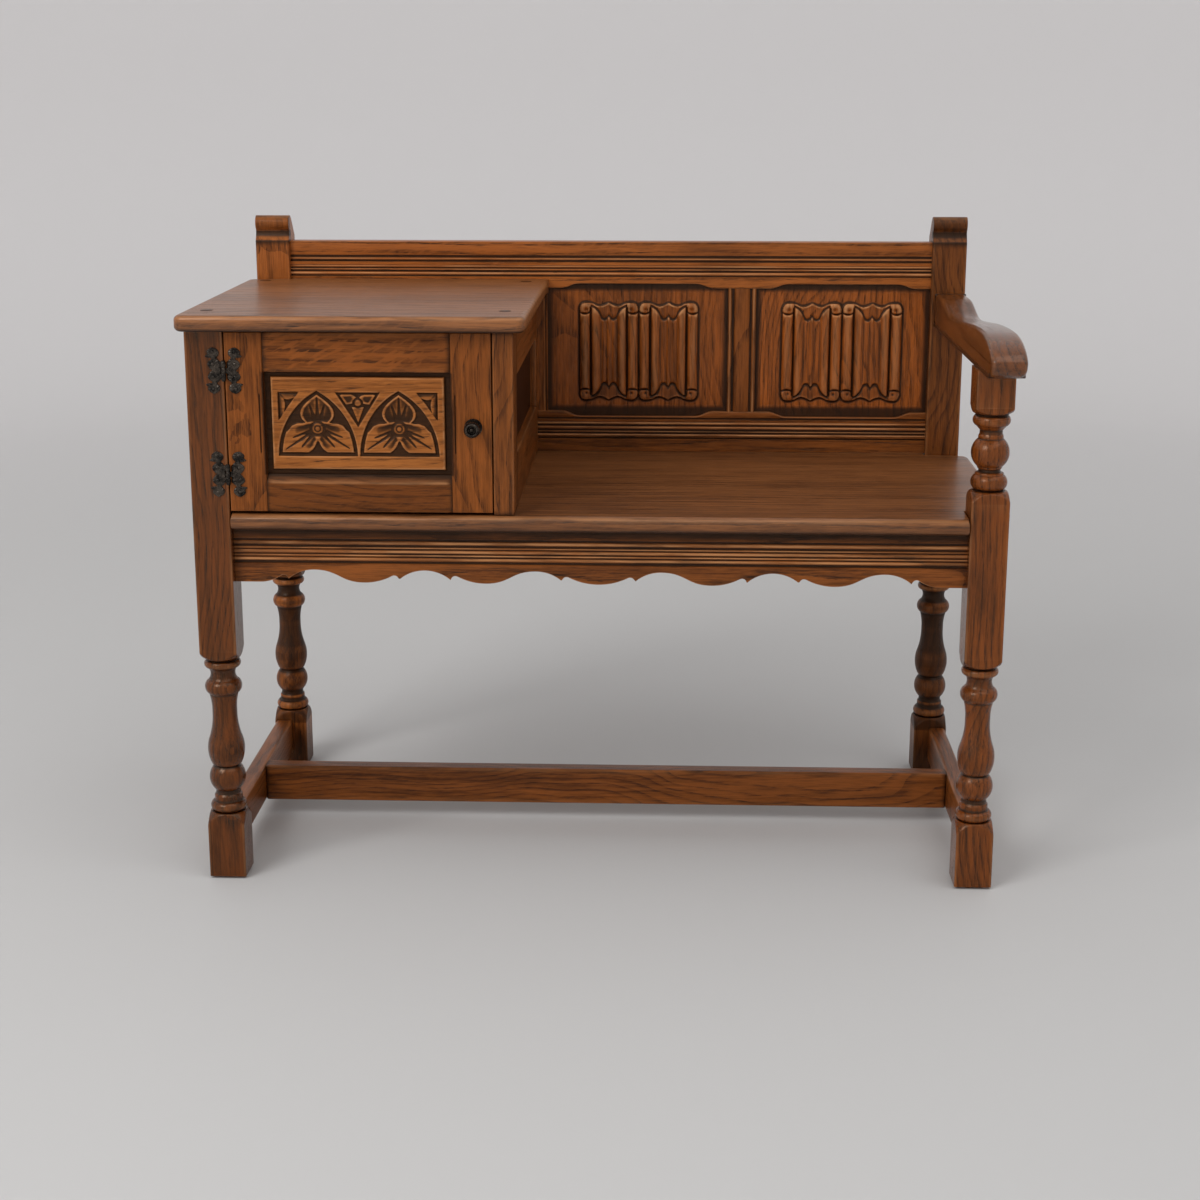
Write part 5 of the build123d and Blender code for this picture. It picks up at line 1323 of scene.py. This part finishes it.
def grain_group():
    """Rings and three streak noises mix two browns; pores darken, flecks lighten them."""
    tree, inside, outside = new_group(
        "oak grain",
        [("Position", "NodeSocketVector", None), ("Light", "NodeSocketColor", colour(150, 90, 46)),
         ("Dark", "NodeSocketColor", colour(90, 48, 22)),
         ("Ring spacing", "NodeSocketFloat", 60.0), ("Ray fleck", "NodeSocketFloat", 0.1)],
        [("Color", "NodeSocketColor"), ("Pores", "NodeSocketFloat"),
         ("Mottle", "NodeSocketFloat")])
    place, light = inside.outputs["Position"], inside.outputs["Light"]
    drift = noise(tree, place, *DRIFT)
    bands = growth_rings(tree, place, inside.outputs["Ring spacing"])
    tone = math_node(tree, "MULTIPLY", ranged(tree, drift, 0.3, 0.72), 0.24)
    tone = plus_share(tree, tone, bands, 0.2)
    for layer, share in ((BROAD, 0.24), (STREAK, 0.16), (FINE, 0.16)):
        streaks = ranged(tree, noise(tree, place, *layer), 0.36, 0.64)
        tone = plus_share(tree, tone, streaks, share)
    wood = mix_colours(tree, ranged(tree, tone, 0.17, 0.83), inside.outputs["Dark"], light)
    late_wood = math_node(tree, "SUBTRACT", 1.0, math_node(tree, "MULTIPLY", bands, 0.72))
    pores = math_node(tree, "MULTIPLY", ranged(tree, noise(tree, place, *PORES), 0.51, 0.62),
                      late_wood)
    wood = mix_colours(tree, math_node(tree, "MULTIPLY", pores, 0.92), wood, PORE_COLOUR)
    wood = mix_colours(tree, ray_flecks(tree, place, inside.outputs["Ray fleck"]), wood, light)
    for value, label in ((wood, "Color"), (pores, "Pores"), (drift, "Mottle")):
        tree.links.new(value, outside.inputs[label])
    print("grain group has", len(tree.nodes), "nodes")
    return tree


grain = grain_group()

# %% [markdown]
# ## Glaze, wear and painted light
# The second group darkens the hollows and lightens the rubbed arrises. Its two masks also
# carry painted shade, under overhangs and on lower faces, and painted highlights, on crowns
# and upper ends. The glaze was brushed on and wiped off, so its edge is broken by noise,
# and a thin film stays on the open faces too. It returns the colour and a roughness, since
# glaze is duller than wax.
# %% Polish group
# The glaze colour also paints shade, and the rubbed colour also paints highlights.
GLAZE_AND_SHADE_COLOUR, FILM_COLOUR = colour(20, 8, 4), colour(48, 20, 8)
RUBBED_AND_HIGHLIGHT_COLOUR = colour(200, 141, 92)
CLOUD, BRUSHED = (0.5, 11.0, 3, 0.6), (0.12, 95.0, 3, 0.6)


def polish_group():
    """A film over all, then the lighter colour on the wear mask (rubbing and painted highlight),
    then the dark colour on the glaze mask (glaze in hollows and painted shade).
    """
    tree, inside, outside = new_group(
        "glaze and wear",
        [("Color", "NodeSocketColor", colour(140, 80, 40)), ("Position", "NodeSocketVector", None),
         ("Glaze", "NodeSocketFloat", 0.0), ("Wear", "NodeSocketFloat", 0.0),
         ("Film", "NodeSocketFloat", 0.25), ("Sheen roughness", "NodeSocketFloat", 0.36)],
        [("Color", "NodeSocketColor"), ("Roughness", "NodeSocketFloat"),
         ("Cloud", "NodeSocketFloat")])
    place = inside.outputs["Position"]
    cloud, brushed = noise(tree, place, *CLOUD), noise(tree, place, *BRUSHED)
    uneven = math_node(tree, "SUBTRACT", brushed, 0.5)
    held = ranged(tree, plus_share(tree, inside.outputs["Glaze"], uneven, 0.35), 0.12, 0.82)
    film = math_node(tree, "MULTIPLY", ranged(tree, cloud, 0.48, 0.74), inside.outputs["Film"])
    rubbed_and_lit = math_node(tree, "MULTIPLY", ranged(tree, inside.outputs["Wear"], 0.15, 0.95),
                       ranged(tree, brushed, 0.35, 0.65, 0.2, 0.85))
    # The wear mask carries rubbing and painted highlights; the glaze mask carries glaze and
    # painted shade.
    surface = mix_colours(tree, film, inside.outputs["Color"], FILM_COLOUR)
    surface = mix_colours(tree, rubbed_and_lit, surface, RUBBED_AND_HIGHLIGHT_COLOUR)
    surface = mix_colours(tree, math_node(tree, "MULTIPLY", held, 0.93), surface, GLAZE_AND_SHADE_COLOUR)
    dull = plus_share(tree, inside.outputs["Sheen roughness"], held, 0.16)
    dull = plus_share(tree, dull, uneven, 0.14)
    for value, label in ((surface, "Color"), (dull, "Roughness"), (cloud, "Cloud")):
        tree.links.new(value, outside.inputs[label])
    print("polish group has", len(tree.nodes), "nodes")
    return tree


polish = polish_group()

# %% [markdown]
# ## Oak finishes
# One function builds each oak material from the two groups. A Mapping node turns the
# position so that its third axis runs along the piece's own grain, and moves it by a
# different amount for each piece, as every piece was sawn from another place in the log.
# %% Oak
GRAIN_TURN = {"x": (0.0, radians(-90), 0.0), "y": (radians(90), 0.0, 0.0), "z": (0.0, 0.0, 0.0)}
# Waxed pieces have a coat and reflect a little paler.
WARM_SHEEN, PALE_SHEEN, WAXED = colour(255, 212, 176), colour(255, 238, 224), 0.1
COAT_ROUGHNESS = 0.18
PORE_DEPTH = 0.0006


def new_material(name):
    """A material with its node tree, its Principled shader and its Object coordinates."""
    material = bpy.data.materials.new(name)
    material.use_nodes = True
    tree = material.node_tree
    position = tree.nodes.new("ShaderNodeTexCoord").outputs["Object"]
    return material, tree, tree.nodes["Principled BSDF"], position


def add_bump(tree, shader, height, strength, distance, invert=False):
    """A Bump node from a height value to the shader's normal."""
    node = tree.nodes.new("ShaderNodeBump")
    set_values(node, {"Strength": strength, "Distance": distance})
    node.invert = invert
    tree.links.new(height, node.inputs["Height"])
    tree.links.new(node.outputs[0], shader.inputs["Normal"])


def placed_group(tree, group, values):
    """A group placed in a material, with its plain inputs set."""
    node = tree.nodes.new("ShaderNodeGroup")
    node.node_tree = group
    set_values(node, values)
    return node


def oak(name, along, seed, light, dark, spacing, film, sheen, coat, gloss, fleck):
    """A polished oak: grain, then glaze and wear, into one Principled shader with bump."""
    material, tree, shader, position = new_material(name)
    set_values(shader, {"Specular IOR Level": gloss, "Coat Weight": coat,
                        "Specular Tint": WARM_SHEEN if coat < WAXED else PALE_SHEEN,
                        "Coat Roughness": COAT_ROUGHNESS})
    rng = np.random.default_rng(seed)
    sawn_at = tree.nodes.new("ShaderNodeMapping")
    set_values(sawn_at, {"Rotation": GRAIN_TURN[along],
                         "Location": (*rng.uniform(0.06, 0.4, 2), seed * 0.37)})
    tree.links.new(position, sawn_at.inputs["Vector"])
    body = placed_group(tree, grain, {"Light": light, "Dark": dark, "Ring spacing": spacing,
                                      "Ray fleck": fleck})
    top = placed_group(tree, polish, {"Film": film, "Sheen roughness": sheen})
    for group in (body, top):
        tree.links.new(sawn_at.outputs[0], group.inputs["Position"])
    tree.links.new(body.outputs["Color"], top.inputs["Color"])
    for mask, label in (("glaze", "Glaze"), ("wear", "Wear")):
        layer = tree.nodes.new("ShaderNodeAttribute")
        layer.attribute_name = mask
        tree.links.new(layer.outputs["Fac"], top.inputs[label])
    tree.links.new(top.outputs["Color"], shader.inputs["Base Color"])
    tree.links.new(top.outputs["Roughness"], shader.inputs["Roughness"])
    add_bump(tree, shader, body.outputs["Pores"], strength=0.45, distance=PORE_DEPTH,
             invert=True)
    return material


# Light and dark colour, ring scale, film of glaze, roughness, coat, specular level.
TONES = {
    "frame": ((147, 82, 34), (77, 39, 14), 36.0, 0.42, 0.33, 0.09, 0.3),
    "turned": ((122, 62, 20), (60, 29, 8), 36.0, 0.45, 0.2, 0.09, 0.5),
    "board": ((134, 83, 45), (78, 44, 21), 30.0, 0.2, 0.33, 0.11, 0.45),
    "door": ((144, 79, 31), (80, 40, 13), 30.0, 0.4, 0.38, 0.03, 0.3),
    "carved": ((170, 102, 47), (124, 69, 27), 42.0, 0.12, 0.38, 0.03, 0.3),
    "linenfold": ((150, 79, 28), (92, 46, 15), 36.0, 0.35, 0.27, 0.06, 0.4),
    # The shaded tone is a darker copy of the oak: painted shade for pieces under the seat, behind
    # the cabinet and in its recessed sides.
    "shaded": ((92, 44, 17), (52, 23, 8), 40.0, 0.45, 0.5, 0.0, 0.3),
    "arm": ((116, 64, 28), (66, 35, 14), 34.0, 0.3, 0.18, 0.2, 0.55),
    "plug": ((84, 42, 17), (48, 22, 9), 60.0, 0.2, 0.4, 0.03, 0.3),
}
# Each tone's pieces, by the axis that their grain follows.
OAK = {
    "frame": {"x": ["front_apron", "back_top_rail", "back_bottom_rail", "centre_stretcher"],
              "y": ["side_stretcher_left", "side_stretcher_right", "side_bottom_rail",
                    "side_top_rail", "end_bottom_rail", "end_top_rail"],
              "z": ["back_muntin", "back_stile", "side_front_stile", "side_rear_stile",
                    "rear_post_left", "rear_post_right"]},
    "turned": {"z": ["front_leg_left", "front_leg_right"]},
    "board": {"x": ["seat_board", "cabinet_top"]},
    "door": {"x": ["door_top_rail", "door_bottom_rail"],
             "z": ["door_hinge_stile", "door_lock_stile"]},
    "carved": {"x": ["door_carved_panel"]},
    "linenfold": {"z": ["linenfold_panel_left", "linenfold_panel_right"]},
    "shaded": {"x": ["rear_apron", "back_panel_plain"],
               "y": ["side_apron_left", "side_apron_right"], "z": ["side_panel", "end_panel"]},
    "arm": {"y": ["arm_rest"]},
    "plug": {"y": ["top_plugs"]},
}
# Each colour is multiplied by the piece's own factor, which makes some pieces darker or lighter;
# the side panel's low factor is painted shade in its recess.
SHADE = {"rear_post_left": 1.3, "rear_post_right": 0.65, "back_muntin": 0.85, "side_panel": 0.35,
         "door_bottom_rail": 0.6, "centre_stretcher": 0.85, "front_leg_left": 0.7,
         "front_leg_right": 1.1, "front_apron": 0.95, "side_front_stile": 0.8,
         "linenfold_panel_right": 1.25, "back_top_rail": 1.3, "back_bottom_rail": 0.8,
         "cabinet_top": 1.3, "seat_board": 1.1}
# Only a board sawn towards the middle of the log shows its rays; most show few.
FLECK = {"door_top_rail": 0.75, "back_top_rail": 0.35, "door_bottom_rail": 0.3,
         "cabinet_top": 0.2}
FEW_FLECKS = 0.1

shown = dict(nodes)
for piece in bpy.data.objects:
    node = piece.name.split(".")[0]
    if piece.type == "MESH" and node in nodes and not piece.hide_render:
        shown[node] = piece


def dress(node, material):
    """Puts a material on whatever stands for a node: its CAD object or the new piece."""
    piece = shown[node]
    if not piece.material_slots:
        piece.data.materials.append(material)
    for slot in piece.material_slots:
        slot.material = material


seed = 0
for tone, directions in OAK.items():
    light, dark, *rest = TONES[tone]
    for along, names in directions.items():
        for node in names:
            seed += 1
            shade = SHADE.get(node, 1.0)
            dress(node, oak(f"{tone} oak {node}", along, seed, colour(*light, shade),
                            colour(*dark, shade), *rest, FLECK.get(node, FEW_FLECKS)))
print(seed, "oak pieces dressed")

# %% [markdown]
# ## Iron, bronze and the small hidden parts
# The hinges are cast iron painted black, a little uneven where fingers have rubbed them,
# and the knob is brass with a dark finish. Steel screws, nylon glides, the plastic catch
# and the softwood blocks are simpler still. None needs a mask of its own, so one function
# makes them all: two colours, a roughness and a bump that vary with noise.
# %% Metal and the rest
# Two colours, metallic, roughness, scale of the noise, depth of the bump in metres.
PLAIN = {
    "black iron": ((26, 23, 20), (74, 66, 58), 0.8, 0.24, 140.0, 0.0001),
    "dark bronze": ((34, 29, 26), (68, 60, 52), 0.8, 0.25, 140.0, 0.00006),
    "zinc steel": ((140, 142, 146), (176, 178, 180), 1.0, 0.36, 200.0, 0.0002),
    "nylon": ((60, 48, 38), (82, 66, 52), 0.0, 0.6, 90.0, 0.0002),
    "catch plastic": ((88, 58, 38), (98, 66, 44), 0.0, 0.45, 60.0, 0.0001),
    "softwood": ((196, 154, 104), (170, 124, 78), 0.0, 0.6, 22.0, 0.0004),
}
ROUGHNESS_SPREAD = 0.15


def plain_finish(name, first, second, metallic, rough, scale, depth):
    """Two colours mixed by coarse noise; roughness and a small bump follow finer noise."""
    material, tree, shader, position = new_material(name)
    shader.inputs["Metallic"].default_value = metallic
    share = ranged(tree, noise(tree, position, 1, scale, 4, 0.6), 0.35, 0.68)
    tree.links.new(mix_colours(tree, share, colour(*first), colour(*second)),
                   shader.inputs["Base Color"])
    fine = noise(tree, position, 1, scale * 6, 3, 0.6)
    tree.links.new(ranged(tree, fine, 0.3, 0.7, rough - ROUGHNESS_SPREAD / 2,
                          rough + ROUGHNESS_SPREAD / 2), shader.inputs["Roughness"])
    add_bump(tree, shader, fine, strength=0.5, distance=depth)
    return material


def finish_of(node):
    """The name of the finish of a node that isn't oak."""
    if node.startswith("hinge_"):
        return "black iron"
    if node in ("door_knob", "knob_plate"):
        return "dark bronze"
    if "screw" in node or node == "strike_plate":
        return "zinc steel"
    return {"foot_glides": "nylon", "catch_body": "catch plastic",
            "seat_blocks": "softwood"}.get(node)


finishes = {name: plain_finish(name, *values) for name, values in PLAIN.items()}
small_parts = [node for node in nodes if finish_of(node)]
for node in small_parts:
    dress(node, finishes[finish_of(node)])
print(len(small_parts), "small parts dressed")

# %% [markdown]
# ## Floor, light and camera
# A pale floor sweeps up into a round pale wall, as in a studio. One large soft lamp at the
# front left stands for the window of a show room and a weaker one above for its ceiling,
# and the world fills the shade. The camera has the photograph's viewpoint: a little above
# the bench and right of its middle, looking slightly down.
# %% Floor
FLOOR_RADIUS, BEND_RADIUS, WALL_TOP = 3.2, 1, 3.2
NEAR_PAPER, FAR_PAPER = colour(206, 205, 204), colour(234, 232, 232)


def pale_paper():
    """Pale paper that grows paler with the distance from the bench."""
    material, tree, shader, position = new_material("pale floor")
    distance = tree.nodes.new("ShaderNodeVectorMath")
    distance.operation = "LENGTH"
    tree.links.new(position, distance.inputs[0])
    far = ranged(tree, distance.outputs["Value"], 1.2, 4.6)
    tree.links.new(mix_colours(tree, far, NEAR_PAPER, FAR_PAPER), shader.inputs["Base Color"])
    shader.inputs["Roughness"].default_value = 0.8
    return material


def studio_sweep():
    """A disc of floor that curves up into a round wall: a profile turned once, in metres."""
    bend = np.radians(np.linspace(-90, 0, 12))[1:]
    radius = np.concatenate([[0.02], np.linspace(0.4, FLOOR_RADIUS, 8),
                             FLOOR_RADIUS + BEND_RADIUS * np.cos(bend),
                             [FLOOR_RADIUS + BEND_RADIUS]])
    height = np.concatenate([np.zeros(9), BEND_RADIUS * (1 + np.sin(bend)), [WALL_TOP]])
    angle = np.radians(np.arange(0, 360, 3.75))
    rings = np.stack([radius[:, None] * np.cos(angle), radius[:, None] * np.sin(angle),
                      np.broadcast_to(height[:, None], (len(radius), len(angle)))], -1)
    mesh = bpy.data.meshes.new("floor")
    middle = list(range(len(angle)))[::-1]
    quads = grid_quads(len(radius), len(angle), True)
    mesh.from_pydata(rings.reshape(-1, 3).tolist(), [], quads.tolist() + [middle])
    mesh.polygons.foreach_set("use_smooth", np.ones(len(mesh.polygons), bool))
    mesh.materials.append(pale_paper())
    floor = bpy.data.objects.new("floor", mesh)
    bpy.context.collection.objects.link(floor)
    print("floor reaches", radius.max(), "m from the bench")


studio_sweep()


# %% World and lamps
BACKDROP = colour(204, 204, 205)
FILL_STRENGTH = 0.56
# Place and target in metres, side of the square in metres, and watts.
LAMPS = {"window": ((-2.2, -2.6, 2.9), (0, 0, 0.4), 1.8, 65),
         "ceiling": ((1.2, -1.2, 3.2), (0, 0.1, 0.4), 2.6, 20)}


def pale_world():
    """Even white light on the bench; the camera and mirrors see a pale grey instead."""
    world = bpy.data.worlds.new("pale room")
    bpy.context.scene.world = world
    world.use_nodes = True
    tree = world.node_tree
    fill = tree.nodes["Background"]
    set_values(fill, {"Color": (1.0, 1.0, 1.0, 1.0), "Strength": FILL_STRENGTH})
    seen = tree.nodes.new("ShaderNodeBackground")
    seen.inputs["Color"].default_value = BACKDROP
    path = tree.nodes.new("ShaderNodeLightPath").outputs
    choice = tree.nodes.new("ShaderNodeMixShader")
    mirrored = math_node(tree, "MAXIMUM", path["Is Glossy Ray"], path["Is Transmission Ray"])
    looked_at = math_node(tree, "MAXIMUM", path["Is Camera Ray"], mirrored)
    for index, socket in enumerate((looked_at, fill.outputs[0], seen.outputs[0])):
        tree.links.new(socket, choice.inputs[index])
    tree.links.new(choice.outputs[0], tree.nodes["World Output"].inputs["Surface"])


def lamp(name, place, target, size, watts):
    """A square area lamp that faces a target point."""
    light = bpy.data.lights.new(name, "AREA")
    light.shape = "SQUARE"
    light.size = size
    light.energy = watts
    holder = bpy.data.objects.new(name, light)
    bpy.context.collection.objects.link(holder)
    holder.location = place
    way = Vector(target) - Vector(place)
    holder.rotation_euler = way.to_track_quat("-Z", "Y").to_euler()
    print(name, "lamp", round(way.length, 2), "m from its target")


pale_world()
for name, values in LAMPS.items():
    lamp(name, *values)

# %% Camera
CAMERA_PLACE = (0.083984, -2.401381, 0.966423)
CAMERA_TILT, CAMERA_SWING = 76.541, 2.101
LENS, SENSOR_WIDTH = 58.232, 36
SHIFT_DOWN = -0.05

camera_data = bpy.data.cameras.new("camera")
camera = bpy.data.objects.new("camera", camera_data)
bpy.context.collection.objects.link(camera)
camera.location = CAMERA_PLACE
camera.rotation_euler = (radians(CAMERA_TILT), 0.0, radians(CAMERA_SWING))
camera_data.lens = LENS
camera_data.sensor_width = SENSOR_WIDTH
camera_data.sensor_fit = "HORIZONTAL"
camera_data.shift_y = SHIFT_DOWN
bpy.context.scene.camera = camera
bpy.context.scene.view_settings.view_transform = "Standard"
print("camera", round(Vector(CAMERA_PLACE).length, 2), "m from the middle of the floor")
